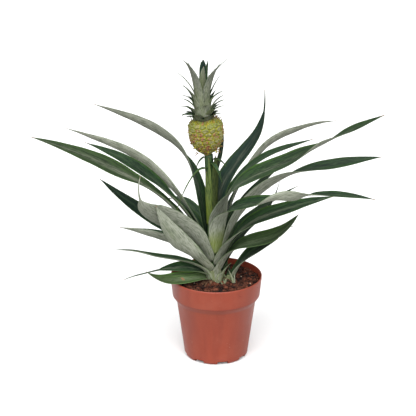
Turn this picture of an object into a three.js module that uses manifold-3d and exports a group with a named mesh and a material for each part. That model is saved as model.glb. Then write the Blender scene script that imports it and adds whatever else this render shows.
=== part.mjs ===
// A young pineapple plant in a 12 cm nursery pot: a clump of strap leaves, and one fruit with its crown
// on a stalk. Millimetres, +Z up. The origin is the middle of the pot's flat underside.
import * as THREE from "three";
import { mergeVertices } from "three/addons/utils/BufferGeometryUtils.js";
import Module from "manifold-3d";

const wasm = await Module();
wasm.setup();

const DEG = Math.PI / 180;
const GAP = 0.3;

// ---------------------------------------------------------------- driving dimensions

const POT = {
  height: 112,
  rimRadius: 60,
  bandFoot: 84.8,
  bandFootRadius: 57.4,
  stepHeight: 77,
  stepRadius: 52,
  wallTopRadius: 51.7,
  footRadius: 42,
  cornerRadius: 4,
  wall: 1.3,
  floor: 2,
  sides: 40,
};
const DRAIN = { count: 8, width: 11, height: 3.4, inner: 33, firstAngle: 237 };
// Radial steps that the floor's corner and the filled inside keep from the outline.
const FLOOR_INSET = 1.6;
const SOIL = { level: 104, crumb: 0.8, sink: 0.4, ringStep: 7, calm: 16 };

// The plant leans a little to one side of the pot. Heights on it are counted from the soil.
const PLANT = { offset: -1.7, lean: -2.7 };
const STEM = { root: -14, footRadius: 8.6, stalkRadius: 5.6, neck: 66, neckSpread: 7, top: 175, sides: 16 };
const PUP = { x: 17.3, root: -5, radius: 4.6, height: 9, sides: 10 };

// A blade's section and foot. Its middle line is summed in `fine` parts of each band.
const BLADE = {
  edge: 0.6,
  rib: 1.2,
  tip: 1.4,
  columns: 4,
  bandLength: 22,
  fine: 4,
  cup: 30,
  seat: 1.35,
  hug: 54,
  claspLength: 30,
  flare: 10,
  waist: { depth: 0.18, at: 22, spread: 16 },
};
// How much of its full width a blade's foot keeps.
const CLASP = { leaf: 1.05, stalkLeaf: 1, pupLeaf: 0.8 };
const STALK_LEAF_CUP = 20;

// The fruit and the crown stand `aside` of the stalk's line, as the fruit's weight bends it.
const FRUIT = {
  aside: -2,
  height: 48,
  rows: 9,
  around: 13,
  twist: 5,
  eyeHeight: 1.9,
  eyeTop: 0.42,
  bract: 6.5,
  bractWidth: 1.5,
  seed: 7,
};
// Radius of the fruit from its foot to its shoulder, at even steps of height.
const FRUIT_RADII = [5, 11, 15.4, 18.2, 19.8, 20.4, 20.4, 19, 12];

const CROWN = {
  aside: -4.4,
  fill: 34,
  goldenAngle: 137.5,
  firstHeading: 200,
  coreRadius: 10.8,
  coreHeight: 50,
  coreTop: 45,
  seat: -1.2,
  hug: 54,
  lowest: 1,
  climb: 30,
  length: [13, 47],
  width: [8, 13],
  seed: 23,
};
// The rule fills the collar all round, and higher up only the side between these headings.
const CROWN_BACK = { from: 35, to: 160, collar: 0.3 };

// ---------------------------------------------------------------- finishes

const finish = (color, roughness) => new THREE.MeshStandardMaterial({ color, roughness, metalness: 0 });
const leafGreen = () => finish(0x3f6b45, 0.55);
const stalkGreen = () => finish(0x7d8c4a, 0.6);

// ---------------------------------------------------------------- small helpers

// A smooth curve through values that stand at even steps from 0 to 1.
function through(values, s) {
  const last = values.length - 1;
  if (last < 1) return values[0];
  const x = THREE.MathUtils.clamp(s, 0, 1) * last;
  const i = Math.min(Math.floor(x), last - 1);
  const slope = (k) => (values[Math.min(k + 1, last)] - values[Math.max(k - 1, 0)])
    / (k === 0 || k === last ? 1 : 2);
  const t = x - i;
  const t2 = t * t;
  const t3 = t2 * t;
  return values[i] * (2 * t3 - 3 * t2 + 1) + slope(i) * (t3 - 2 * t2 + t)
    + values[i + 1] * (3 * t2 - 2 * t3) + slope(i + 1) * (t3 - t2);
}

// Seeded draws, so that each build is the same.
function draws(seed) {
  let state = seed;
  return () => {
    state = (state * 1664525 + 1013904223) % 4294967296;
    return state / 4294967296;
  };
}

function geometryOf(points, faces) {
  const geometry = new THREE.BufferGeometry();
  geometry.setAttribute("position", new THREE.Float32BufferAttribute(points.flat(), 3));
  geometry.setIndex(faces.flat());
  geometry.computeVertexNormals();
  return geometry;
}

function solidOf(geometry) {
  const bare = geometry.clone();
  bare.deleteAttribute("normal");
  bare.deleteAttribute("uv");
  const merged = mergeVertices(bare, 1e-4);
  return new wasm.Manifold(new wasm.Mesh({
    numProp: 3,
    vertProperties: new Float32Array(merged.attributes.position.array),
    triVerts: new Uint32Array(merged.index.array),
  }));
}

function geometryFrom(solid) {
  const mesh = solid.getMesh();
  const geometry = new THREE.BufferGeometry();
  geometry.setAttribute("position", new THREE.Float32BufferAttribute(mesh.vertProperties, 3));
  geometry.setIndex(new THREE.Uint32BufferAttribute(mesh.triVerts, 1));
  geometry.computeVertexNormals();
  return geometry;
}

// The largest closed shell of a union, so that a hollow that fusing seals is filled.
function outerShell(solid) {
  return solid.decompose().reduce((most, body) => (body.volume() > most.volume() ? body : most));
}

// A turned solid about +Z from [radius, height] pairs that start and end on the axis.
function turned(profile, sides) {
  const outline = profile.map(([radius, height]) => new THREE.Vector2(radius, height));
  return new THREE.LatheGeometry(outline, sides).rotateX(Math.PI / 2);
}

function named(name, geometry, material) {
  const mesh = new THREE.Mesh(geometry, material);
  mesh.name = name;
  return mesh;
}

// ---------------------------------------------------------------- blades

// The rings of a strap blade, from its clasping foot to its tip. `rise` is its pitch above the horizon
// and `turn` its change of heading, at even steps along it. `roll` turns its face about its own line.
// Past the share `tail` of its length it is only a thread.
// Its section is an arc that hugs the stem at the foot and opens to a shallow channel.
function bladeRings({ foot, heading, length, width, rise, turn = [0], roll = [0], taper = 2.2, tail = 1,
  clasp, claspRadius, cup = BLADE.cup, edge = BLADE.edge, rib = BLADE.rib, bands,
  columns = BLADE.columns, tip = BLADE.tip }) {
  const step = length / bands;
  const direction = (s) => {
    const pitch = through(rise, s) * DEG;
    const yaw = (heading + through(turn, s)) * DEG;
    return new THREE.Vector3(Math.cos(pitch) * Math.cos(yaw), Math.cos(pitch) * Math.sin(yaw),
      Math.sin(pitch));
  };
  const place = foot.clone();
  const rings = [];
  for (let i = 0; i <= bands; i += 1) {
    const s = i / bands;
    if (i > 0) {
      for (let k = 0; k < BLADE.fine; k += 1) {
        place.addScaledVector(direction((i - 1 + (k + 0.5) / BLADE.fine) / bands), step / BLADE.fine);
      }
    }
    const along = direction(s);
    const yaw = (heading + through(turn, s)) * DEG;
    const level = new THREE.Vector3(-Math.sin(yaw), Math.cos(yaw), 0);
    const over = new THREE.Vector3().crossVectors(along, level);
    const twist = through(roll, s) * DEG;
    const side = level.clone().multiplyScalar(Math.cos(twist)).addScaledVector(over, Math.sin(twist));
    const face = over.clone().multiplyScalar(Math.cos(twist)).addScaledVector(level, -Math.sin(twist));
    const far = s * length;
    const waist = 1 - BLADE.waist.depth * Math.exp(-(((far - BLADE.waist.at) / BLADE.waist.spread) ** 2));
    const flare = (clasp - width) * Math.exp(-far / BLADE.flare);
    const narrowed = 1 - Math.min(s / tail, 1) ** taper;
    const wide = Math.max(width * narrowed * waist + flare, tip);
    const hug = clasp / 2 / claspRadius;
    const half = cup * DEG + (hug - cup * DEG) * Math.exp(-((far / BLADE.claspLength) ** 2));
    const radius = wide / 2 / half;
    const upper = [];
    const under = [];
    for (let j = 0; j <= columns; j += 1) {
      const v = (2 * j) / columns - 1;
      const angle = v * half;
      const middle = place.clone().addScaledVector(side, radius * Math.sin(angle))
        .addScaledVector(face, radius * (1 - Math.cos(angle)));
      const out = face.clone().multiplyScalar(Math.cos(angle)).addScaledVector(side, -Math.sin(angle));
      const thick = edge + (rib - edge) * (1 - v * v) * (1 - s ** 3);
      upper.push(middle.clone().addScaledVector(out, thick / 2).toArray());
      under.unshift(middle.clone().addScaledVector(out, -thick / 2).toArray());
    }
    rings.push([...upper, ...under]);
  }
  return rings;
}

// The two faces of a blade are split alike: the under face mirrors the upper face's diagonals.
function bladeGeometry(blade) {
  const columns = blade.columns ?? BLADE.columns;
  const rings = bladeRings(blade);
  const size = rings[0].length;
  const end = (rings.length - 1) * size;
  const faces = [];
  for (let i = 0; i < rings.length - 1; i += 1) {
    for (let j = 0; j < size; j += 1) {
      const a = i * size + j;
      const b = i * size + (j + 1) % size;
      if (j < columns) faces.push([a, b + size, b], [a, a + size, b + size]);
      else faces.push([a, a + size, b], [b, a + size, b + size]);
    }
  }
  for (let j = 0; j < columns; j += 1) {
    const far = size - 1 - j;
    faces.push([j, j + 1, far - 1], [j, far - 1, far]);
    faces.push([end + j, end + far - 1, end + j + 1], [end + j, end + far, end + far - 1]);
  }
  return geometryOf(rings.flat(), faces);
}

// ---------------------------------------------------------------- pot and soil

function potOutline() {
  const { height, rimRadius, bandFoot, bandFootRadius, stepHeight, stepRadius, wallTopRadius,
    footRadius, cornerRadius } = POT;
  const corner = [];
  for (let i = 0; i <= 3; i += 1) {
    const angle = (i / 3) * 80 * DEG;
    corner.push([footRadius - cornerRadius + cornerRadius * Math.sin(angle),
      cornerRadius * (1 - Math.cos(angle))]);
  }
  return [
    ...corner,
    [wallTopRadius, stepHeight - 1],
    [stepRadius, stepHeight],
    [(stepRadius + bandFootRadius) / 2 + 0.6, (stepHeight + bandFoot) / 2],
    [bandFootRadius, bandFoot],
    [rimRadius, height],
  ];
}

// The pot's outline moved in by the wall, which the soil fills.
function cavityOutline(inset) {
  const inner = potOutline().map(([radius, height]) => [radius - POT.wall - inset, height]);
  return inner.filter(([, height]) => height > POT.floor + 1);
}

function potGeometry() {
  const outer = potOutline();
  const inner = cavityOutline(0).reverse();
  const floorRadius = POT.footRadius - POT.wall - FLOOR_INSET;
  const profile = [[0, 0], ...outer, ...inner, [floorRadius, POT.floor], [0, POT.floor]];
  let pot = solidOf(turned(profile, POT.sides));
  for (let i = 0; i < DRAIN.count; i += 1) {
    const reach = POT.footRadius + 2 - DRAIN.inner;
    const notch = new THREE.BoxGeometry(reach, DRAIN.width, DRAIN.height * 2);
    notch.translate(DRAIN.inner + reach / 2, 0, 0);
    notch.rotateZ((DRAIN.firstAngle + (i * 360) / DRAIN.count) * DEG);
    pot = pot.subtract(solidOf(notch));
  }
  return geometryFrom(pot);
}

function soilGeometry() {
  const wallAt = cavityOutline(GAP);
  const low = POT.floor + GAP;
  const floorRadius = POT.footRadius - POT.wall - FLOOR_INSET - GAP;
  const below = wallAt.filter(([, height]) => height < SOIL.level - 1);
  const [lastRadius, lastHeight] = below[below.length - 1];
  const [rimRadius, rimHeight] = wallAt[wallAt.length - 1];
  const share = (SOIL.level - lastHeight) / (rimHeight - lastHeight);
  const edgeRadius = lastRadius + (rimRadius - lastRadius) * share;
  const rings = [];
  for (let radius = SOIL.ringStep; radius < edgeRadius - 2; radius += SOIL.ringStep) rings.unshift(radius);
  const profile = [[0, low], [floorRadius, low], ...below, [edgeRadius, SOIL.level],
    ...rings.map((radius) => [radius, SOIL.level]), [0, SOIL.level]];
  const geometry = turned(profile, POT.sides);
  geometry.deleteAttribute("normal");
  geometry.deleteAttribute("uv");
  const merged = mergeVertices(geometry, 1e-3);
  const spots = merged.attributes.position;
  for (let i = 0; i < spots.count; i += 1) {
    const x = spots.getX(i);
    const y = spots.getY(i);
    const radius = Math.hypot(x, y);
    if (spots.getZ(i) > SOIL.level - 0.5 && radius > SOIL.calm && radius < edgeRadius - 1) {
      const crumb = Math.sin(x * 0.55 + 1.3) * Math.cos(y * 0.47) + 0.6 * Math.sin(x * 1.7 - y * 1.3);
      spots.setZ(i, SOIL.level + SOIL.crumb * crumb - SOIL.sink);
    }
  }
  const holeFor = (radius, root, sides, lean, x) => {
    const reach = (radius + GAP) / Math.cos(Math.PI / sides);
    const cutter = new THREE.CylinderGeometry(reach, reach, 2 * (GAP - root), sides);
    return solidOf(cutter.rotateX(Math.PI / 2).rotateY(lean * DEG).translate(x, 0, SOIL.level));
  };
  return geometryFrom(solidOf(merged)
    .subtract(holeFor(STEM.footRadius, STEM.root, STEM.sides, PLANT.lean, PLANT.offset))
    .subtract(holeFor(PUP.radius, PUP.root, PUP.sides, 0, PUP.x)));
}

// ---------------------------------------------------------------- stem

function stemRadius(height) {
  const { footRadius, stalkRadius, neck, neckSpread } = STEM;
  return stalkRadius + (footRadius - stalkRadius) / (1 + Math.exp((height - neck) / neckSpread));
}

function stemGeometry() {
  const heights = [STEM.root, 20, 45, 55, 62, 70, 78, 90, 130, STEM.top];
  const profile = heights.map((height) => [stemRadius(height), height]);
  return turned([[0, STEM.root], ...profile, [0, STEM.top]], STEM.sides);
}

// The small side shoot beside the clump, a short peg that its own leaves clasp.
function pupGeometry() {
  const { root, radius, height, sides } = PUP;
  return turned([[0, root], [radius, root], [radius, 2], [radius * 0.8, height], [0, height]], sides);
}

// ---------------------------------------------------------------- leaves

// One row for each leaf, from the youngest at the top of the clump down to the oldest. `height` is where
// it leaves the stem and `heading` the side that it leaves on, 0 to the right and 270 to the front.
const LEAVES = [
  {
    height: 53, heading: 150, length: 268, width: 27, taper: 2.6,
    rise: [86, 83, 72, 42, 20, 13, 10], roll: [0, 0, 10, 50, 72, 72, 68],
  },
  {
    height: 48, heading: 163, length: 252, width: 26, taper: 3,
    rise: [81, 59, 49, 42, 23, 18, 16], roll: [0, 15, 40, 58, 62, 60, 50],
  },
  {
    height: 43, heading: 186, length: 224, width: 28, taper: 3.2,
    rise: [78, 63, 54, 48, 39, 31, 26], roll: [0, 0, 6, -10, -31, -32, -10],
  },
  {
    height: 35, heading: 203, length: 304, width: 33, taper: 3.4,
    rise: [74, 60, 54, 46, 37, 35, 31, 28, 25], turn: [0, -3, -5],
    roll: [0, -5, -8, -6, -14, -40, -40, -36, -30],
  },
  {
    height: 24, heading: 177, length: 181, width: 31,
    rise: [64, 41, 36, 41, 46], roll: [0, -10, -30, -42, -42],
  },
  {
    height: 30, heading: 222, length: 192, width: 35, tail: 0.84, taper: 10,
    rise: [71, 59, 46, 39, 34, 40, 80, 115], roll: [0, 15, 40, 50, 50, 40, 20, 0],
  },
  {
    height: 20, heading: 191, length: 134, width: 22,
    rise: [54, 45, 36, 33, 24, 22, 18], turn: [0, 5], roll: [0, 25, 60, 60],
  },
  {
    height: 16, heading: 229, length: 150, width: 32, taper: 3,
    rise: [54, 46, 46, 52, 56, 60, 64], turn: [0, -4], roll: [0, 10, 40, 48, 45],
  },
  {
    height: 12, heading: 203, length: 142, width: 25,
    rise: [50, 33, 22, 20, 26, 18, 8], roll: [0, 8],
  },
  {
    height: 9, heading: 200, length: 118, width: 32, tail: 0.62, taper: 2,
    rise: [42, 24, 11, 5, -3, -5, -14], roll: [-8, -20, -20, -10],
  },
  {
    height: 4, heading: 212, length: 100, width: 31,
    rise: [30, 10, 12, 10, 20, 36, 50], roll: [-12, -22, -25],
  },
  {
    height: 66, heading: 49.5, length: 207, width: 30, tail: 0.88, taper: 4,
    rise: [86, 78, 48, 34, 43, 75, 93], turn: [0, -8, -12],
  },
  {
    height: 46, heading: 32, length: 256, width: 26, out: 0.6, hug: 42,
    rise: [78, 65, 55, 43, 14, 4, -8], turn: [0, -5], roll: [0, -30, -55, -60, -55],
  },
  {
    height: 54, heading: 356.5, length: 203, width: 24.5, out: 0.8, taper: 3.2,
    rise: [86, 79, 56, 36, 20, 16], roll: [0, 0, 10, 17],
  },
  {
    height: 50, heading: 300, length: 336, width: 33, out: 1.6, taper: 4.2,
    rise: [83, 73, 52, 33, 27, 30, 31, 28, 27], turn: [0, 30, 45],
    roll: [0, 0, 20, 30, 30, 22, -12, 20, 28],
  },
  {
    height: 35, heading: 359, length: 268, width: 28, out: 1.7, hug: 40, taper: 3.8,
    rise: [76, 62, 45, 26, 12, 10, 7], turn: [0, -4, -5], roll: [0, -25, -40, -35, 10, 38, 38],
  },
  {
    height: 42, heading: 290, length: 310, width: 30, out: 2.2, hug: 36, taper: 3.2,
    rise: [79, 67, 39, 21, 20, 17, 11, 2, -5], turn: [0, 12, 30, 42, 46],
    roll: [0, 8, 20, 22, 12, -52, -8, 20, 20],
  },
  {
    height: 24, heading: 315, length: 205, width: 36, hug: 44, taper: 3,
    rise: [66, 55, 36, 23, 20, 16], turn: [0, 16, 27, 30], roll: [0, 15, 25, 25],
  },
  {
    height: 17, heading: 325, length: 151, width: 34, hug: 48, taper: 5,
    rise: [64, 50, 21, 22, 42, 60], turn: [0, 10, 14], roll: [0, 18, 28],
  },
  {
    height: 32, heading: 46, length: 158, width: 24, out: 2.2, hug: 38,
    rise: [72, 48, 37, 26, 14], turn: [0, -10],
  },
  {
    height: 25, heading: 23, length: 134, width: 17, hug: 28,
    rise: [70, 48, 30, 40, 62, 76], turn: [0, -10, -16],
  },
  {
    height: 18, heading: 46, length: 156, width: 22, hug: 40,
    rise: [60, 46, 28, 21, 15], turn: [0, -18, -20],
  },
  {
    height: 28, heading: 115, length: 170, width: 26, hug: 34,
    rise: [72, 40, 10, -15, -30],
  },
  {
    height: 15, heading: 80, length: 175, width: 26, hug: 44,
    rise: [54, 35, 5, -15, -30],
  },
  {
    height: 9, heading: 42, length: 92, width: 24,
    rise: [58, 48, 34, 20, 8],
  },
  {
    height: 6, heading: 134, length: 150, width: 20, hug: 30,
    rise: [42, 26, 10, -5, -10],
  },
];

const PUP_LEAVES = [
  {
    height: 5, heading: 345, length: 86, width: 31, taper: 3,
    rise: [72, 60, 47, 38, 32, 34], roll: [0, 20, 25],
  },
  {
    height: 2, heading: 44, length: 122, width: 14,
    rise: [60, 42, 24, 12, 4], turn: [0, -25], roll: [0, -20],
  },
];

const STALK_LEAVES = [
  {
    height: 157, heading: 221, length: 84, width: 8, out: -1,
    rise: [20, -34, -50, -60, -66], roll: [0, 40, 40, 20],
  },
  {
    height: 80, heading: 245, length: 74, width: 12,
    rise: [89, 89, 89, 86],
  },
  {
    height: 96, heading: 328, length: 66, width: 11,
    rise: [89, 89, 88, 82],
  },
  {
    height: 136, heading: 35, length: 84, width: 12,
    rise: [74, 69, 75, 90, 93],
  },
  {
    height: 165, heading: 300, length: 34, width: 6, out: -1,
    rise: [10, -40, -62, -75], turn: [0, 20],
  },
  {
    height: 172, heading: 200, length: 18, width: 5, out: -0.9,
    rise: [-20, -50, -75],
  },
  {
    height: 168, heading: 350, length: 20, width: 7, out: -1,
    rise: [10, -35, -60],
  },
];

// The side of the fruit that the fourth stalk leaf stands against.
const PRESSED_SIDE = { heading: STALK_LEAVES[3].heading, half: 38 };

function leafBlade(row, stemAt, share) {
  const claspRadius = stemAt + BLADE.seat + (row.out ?? 0);
  const angle = row.heading * DEG;
  return {
    ...row,
    foot: new THREE.Vector3(Math.cos(angle) * claspRadius, Math.sin(angle) * claspRadius, row.height),
    claspRadius,
    clasp: Math.min(row.width * share, 2 * claspRadius * (row.hug ?? BLADE.hug) * DEG),
    bands: Math.round(THREE.MathUtils.clamp(row.length / BLADE.bandLength, 4, 13)),
  };
}

// ---------------------------------------------------------------- fruit

const fruitRadius = (share) => through(FRUIT_RADII, share);
const eyeAngle = (row, column) => (((column + row / 2) * 360) / FRUIT.around + row * FRUIT.twist) * DEG;

// Rows of eyes, each a low faceted dome in its own diamond, and every second row half an eye round.
function fruitBody() {
  const { height, rows, around, eyeHeight, eyeTop } = FRUIT;
  const spot = (row, column, lift) => {
    const share = (row + 1) / (rows + 1);
    const radius = fruitRadius(share) + lift;
    const angle = eyeAngle(row, column);
    return [radius * Math.cos(angle), radius * Math.sin(angle), share * height];
  };
  const points = [];
  const faces = [];
  const add = (point) => points.push(point) - 1;
  for (let row = 0; row < rows; row += 1) {
    for (let column = 0; column < around; column += 1) {
      const corners = [
        spot(row, column + 0.5, 0),
        spot(row + 1, column - 0.5, 0),
        spot(row, column - 0.5, 0),
        spot(row - 1, column + 0.5, 0),
      ];
      const seat = new THREE.Vector3(...spot(row, column, 0));
      const ring = corners.map((corner) => {
        const middle = new THREE.Vector3(...corner).lerp(seat, eyeTop);
        const flat = new THREE.Vector3(middle.x, middle.y, 0).normalize();
        return middle.addScaledVector(flat, eyeHeight * 0.8).toArray();
      });
      const c = corners.map(add);
      const r = ring.map(add);
      const t = add(spot(row, column, eyeHeight));
      for (let k = 0; k < 4; k += 1) {
        const n = (k + 1) % 4;
        faces.push([c[k], c[n], r[n]], [c[k], r[n], r[k]], [r[k], r[n], t]);
      }
    }
  }
  // The gaps between the end rows' diamonds and the flat ends.
  const footHub = add([0, 0, 0]);
  const topHub = add([0, 0, height]);
  for (let column = 0; column < around; column += 1) {
    const low = add(spot(-1, column + 0.5, 0));
    const lowNext = add(spot(-1, column + 1.5, 0));
    const between = add(spot(0, column + 0.5, 0));
    faces.push([low, lowNext, between], [footHub, lowNext, low]);
    const high = add(spot(rows, column - 0.5, 0));
    const highNext = add(spot(rows, column + 0.5, 0));
    const under = add(spot(rows - 1, column + 0.5, 0));
    faces.push([high, under, highNext], [topHub, high, highNext]);
  }
  return geometryOf(points, faces);
}

// A dry bract is a curved three-sided point that stands out of its eye and bends up.
function bractSolid(base, outward, length) {
  const up = new THREE.Vector3(0, 0, 1);
  const across = new THREE.Vector3().crossVectors(up, outward).normalize();
  const rings = [0, 0.55, 1].map((s) => {
    const middle = base.clone().addScaledVector(outward, length * (s * 0.8 - 0.25))
      .addScaledVector(up, length * 0.55 * s * s);
    const wide = FRUIT.bractWidth * (1 - s * 0.8);
    return [
      middle.clone().addScaledVector(across, wide).toArray(),
      middle.clone().addScaledVector(up, wide * 0.7).toArray(),
      middle.clone().addScaledVector(across, -wide).toArray(),
    ];
  });
  const faces = [[2, 1, 0], [6, 7, 8]];
  for (const a of [0, 1, 2, 3, 4, 5]) {
    const b = a % 3 === 2 ? a - 2 : a + 1;
    faces.push([a, b, b + 3], [a, b + 3, a + 3]);
  }
  return solidOf(geometryOf(rings.flat(), faces));
}

// No bracts stand on the side that a stalk leaf is pressed to.
function fruitGeometry() {
  const { height, rows, around, eyeHeight } = FRUIT;
  const draw = draws(FRUIT.seed);
  const bracts = [];
  for (let row = 0; row < rows; row += 1) {
    for (let column = 0; column < around; column += 1) {
      const share = (row + 1) / (rows + 1);
      const angle = eyeAngle(row, column);
      if (Math.cos(angle - PRESSED_SIDE.heading * DEG) > Math.cos(PRESSED_SIDE.half * DEG)) continue;
      const outward = new THREE.Vector3(Math.cos(angle), Math.sin(angle), (share - 0.5) * 0.7).normalize();
      const reach = fruitRadius(share) + eyeHeight * 0.8;
      const base = new THREE.Vector3(Math.cos(angle) * reach, Math.sin(angle) * reach, share * height - 1);
      bracts.push(bractSolid(base, outward, FRUIT.bract * (0.7 + 0.5 * draw())));
    }
  }
  return geometryFrom(wasm.Manifold.union([solidOf(fruitBody()), ...bracts]));
}

// ---------------------------------------------------------------- crown

// The crown's front leaves, in the same terms as the clump's.
const CROWN_LEAVES = [
  {
    height: 2, heading: 192, length: 20, width: 8, taper: 3,
    rise: [62, 28, -10, -30],
  },
  {
    height: 4, heading: 206, length: 25, width: 7,
    rise: [40, 14, 16, 30],
  },
  {
    height: 8, heading: 198, length: 23, width: 9,
    rise: [66, 44, 14, 0], turn: [0, -14],
  },
  {
    height: 13, heading: 206, length: 25, width: 10,
    rise: [70, 52, 34, 18], turn: [0, -18, -24],
  },
  {
    height: 17, heading: 190, length: 26, width: 7,
    rise: [72, 54, 30, 14],
  },
  {
    height: 19, heading: 222, length: 36, width: 12,
    rise: [78, 66, 48, 34], turn: [0, -20, -36],
  },
  {
    height: 26, heading: 186, length: 46, width: 9,
    rise: [80, 64, 50, 42],
  },
  {
    height: 13, heading: 246, length: 78, width: 18, taper: 2.8,
    rise: [86, 80, 66, 48], turn: [0, -10, -22, -32],
  },
  {
    height: 30, heading: 70, length: 44, width: 14, taper: 6,
    rise: [88, 86, 86],
  },
  {
    height: 29, heading: 290, length: 41, width: 13, taper: 6,
    rise: [89, 88, 84], turn: [0, 30],
  },
  {
    height: 22, heading: 308, length: 75, width: 18, tail: 0.9, taper: 2.8,
    rise: [84, 70, 50, 36], turn: [0, 12, 24, 30],
  },
  {
    height: 26, heading: 8, length: 48, width: 13, taper: 1.8,
    rise: [84, 70, 54], turn: [0, -10],
  },
  {
    height: 25, heading: 20, length: 36, width: 5,
    rise: [68, 58, 46],
  },
  {
    height: 15, heading: 322, length: 34, width: 13,
    rise: [76, 60, 34, 22], turn: [0, 24, 34],
  },
  {
    height: 12, heading: 344, length: 28, width: 11,
    rise: [66, 54, 38, 30], turn: [0, 10],
  },
  {
    height: 11, heading: 12, length: 22, width: 6,
    rise: [52, 36, 18, 10],
  },
  {
    height: 6, heading: 344, length: 23, width: 9,
    rise: [60, 42, 20, 10],
  },
  {
    height: 3, heading: 240, length: 21, width: 14, taper: 3,
    rise: [84, 78, 60, 20],
  },
  {
    height: 4, heading: 282, length: 22, width: 16, taper: 3,
    rise: [84, 80, 60, 10],
  },
  {
    height: 8, heading: 300, length: 30, width: 15,
    rise: [84, 80, 66, 36],
  },
  {
    height: 9, heading: 232, length: 30, width: 14,
    rise: [84, 80, 62, 32],
  },
];

const crownRadius = (height) => Math.max(CROWN.coreRadius * (1 - (height / CROWN.coreHeight) ** 2), 0.5);

// The leaves that the rule adds: short hooked ones low down and long upright ones higher up.
function crownFill() {
  const draw = draws(CROWN.seed);
  const rows = [];
  for (let i = 0; i < CROWN.fill; i += 1) {
    const age = i / (CROWN.fill - 1);
    const heading = (CROWN.firstHeading + i * CROWN.goldenAngle) % 360;
    if ((heading < CROWN_BACK.from || heading > CROWN_BACK.to) && age > CROWN_BACK.collar) continue;
    const start = 40 + 44 * Math.sqrt(age);
    rows.push({
      height: CROWN.lowest + CROWN.climb * age,
      heading,
      length: THREE.MathUtils.lerp(...CROWN.length, age) * (0.9 + 0.2 * draw()),
      width: THREE.MathUtils.lerp(...CROWN.width, age),
      rise: [start, start - 14 + 8 * age, start - 36 + 24 * age, start - 60 + 44 * age],
    });
  }
  return rows;
}

// The tuft on the fruit: a slim core in its clasping leaves.
function crownGeometry() {
  const rings = Array.from({ length: 6 }, (_, i) => (CROWN.coreTop * i) / 5);
  const core = rings.map((height) => [crownRadius(height), height]);
  const parts = [solidOf(turned([[0, 0], ...core, [0, CROWN.coreTop]], 12))];
  for (const row of [...CROWN_LEAVES, ...crownFill()]) {
    const claspRadius = crownRadius(row.height) + CROWN.seat;
    const angle = row.heading * DEG;
    parts.push(solidOf(bladeGeometry({
      taper: 1.5,
      ...row,
      foot: new THREE.Vector3(Math.cos(angle) * claspRadius, Math.sin(angle) * claspRadius, row.height),
      claspRadius,
      clasp: Math.min(row.width * CLASP.leaf, 2 * claspRadius * CROWN.hug * DEG),
      cup: 32,
      edge: 0.7,
      rib: 0.9,
      bands: row.length > 30 ? 4 : 3,
      columns: 2,
      tip: 0.8,
    })));
  }
  return geometryFrom(outerShell(wasm.Manifold.union(parts)));
}

// ---------------------------------------------------------------- assembly

const plant = new THREE.Group();
plant.position.set(PLANT.offset, 0, SOIL.level);
plant.rotation.y = PLANT.lean * DEG;

const pad = (index) => String(index + 1).padStart(2, "0");

plant.add(named("stem", stemGeometry(), stalkGreen()));
LEAVES.forEach((row, index) => {
  const blade = leafBlade(row, stemRadius(row.height), CLASP.leaf);
  plant.add(named(`leaf_${pad(index)}`, bladeGeometry(blade), leafGreen()));
});
STALK_LEAVES.forEach((row, index) => {
  const blade = leafBlade({ ...row, cup: STALK_LEAF_CUP }, stemRadius(row.height), CLASP.stalkLeaf);
  plant.add(named(`stalk_leaf_${pad(index)}`, bladeGeometry(blade), leafGreen()));
});

const fruit = named("fruit", fruitGeometry(), finish(0xa6a03c, 0.6));
fruit.position.set(FRUIT.aside, 0, STEM.top + GAP);
const crown = named("crown", crownGeometry(), finish(0x6f7f66, 0.6));
crown.position.set(CROWN.aside, 0, STEM.top + FRUIT.height + 2 * GAP);
plant.add(fruit, crown);

const pup = new THREE.Group();
pup.position.set(PUP.x, 0, SOIL.level);
pup.add(named("pup_stem", pupGeometry(), stalkGreen()));
PUP_LEAVES.forEach((row, index) => {
  const blade = leafBlade(row, PUP.radius, CLASP.pupLeaf);
  pup.add(named(`pup_leaf_${pad(index)}`, bladeGeometry(blade), leafGreen()));
});

const group = new THREE.Group();
group.add(named("pot", potGeometry(), finish(0xa35540, 0.5)));
group.add(named("soil", soilGeometry(), finish(0x3a241b, 0.95)));
group.add(plant, pup);

export default group;
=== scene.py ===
"""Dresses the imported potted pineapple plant: fine leaves, fruit, crown, soil and pot, with their finishes."""

import math
import random

import bpy
import numpy as np
from bpy.props import FloatProperty, FloatVectorProperty, IntProperty
from mathutils import Matrix, Vector, noise


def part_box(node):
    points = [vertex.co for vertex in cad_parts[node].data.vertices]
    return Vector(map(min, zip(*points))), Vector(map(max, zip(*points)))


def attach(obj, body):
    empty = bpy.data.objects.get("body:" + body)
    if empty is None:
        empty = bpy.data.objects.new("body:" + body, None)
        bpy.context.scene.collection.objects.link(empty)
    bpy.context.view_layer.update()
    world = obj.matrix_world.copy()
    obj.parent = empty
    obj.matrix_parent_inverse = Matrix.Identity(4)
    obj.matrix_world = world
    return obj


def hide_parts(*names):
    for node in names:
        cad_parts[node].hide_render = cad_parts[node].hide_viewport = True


bl_info = {
    "name": "Potted Pineapple Plant",
    "version": (1, 0, 0),
    "blender": (4, 5, 0),
    "location": "View3D > Sidebar > Plant",
    "description": "Makes the leaves, fruit, crown, soil and pot of a potted pineapple plant",
    "category": "Add Mesh",
}

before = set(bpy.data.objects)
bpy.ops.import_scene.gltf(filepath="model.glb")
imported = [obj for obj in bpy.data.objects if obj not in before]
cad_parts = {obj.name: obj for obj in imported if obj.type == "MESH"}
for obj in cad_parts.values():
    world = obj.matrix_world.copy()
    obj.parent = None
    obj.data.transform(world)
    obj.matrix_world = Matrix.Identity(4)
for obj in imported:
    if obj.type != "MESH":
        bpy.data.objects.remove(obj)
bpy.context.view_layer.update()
MM = 0.001

# ------------------------------------------------------------------ sizes shared with the solids

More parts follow.
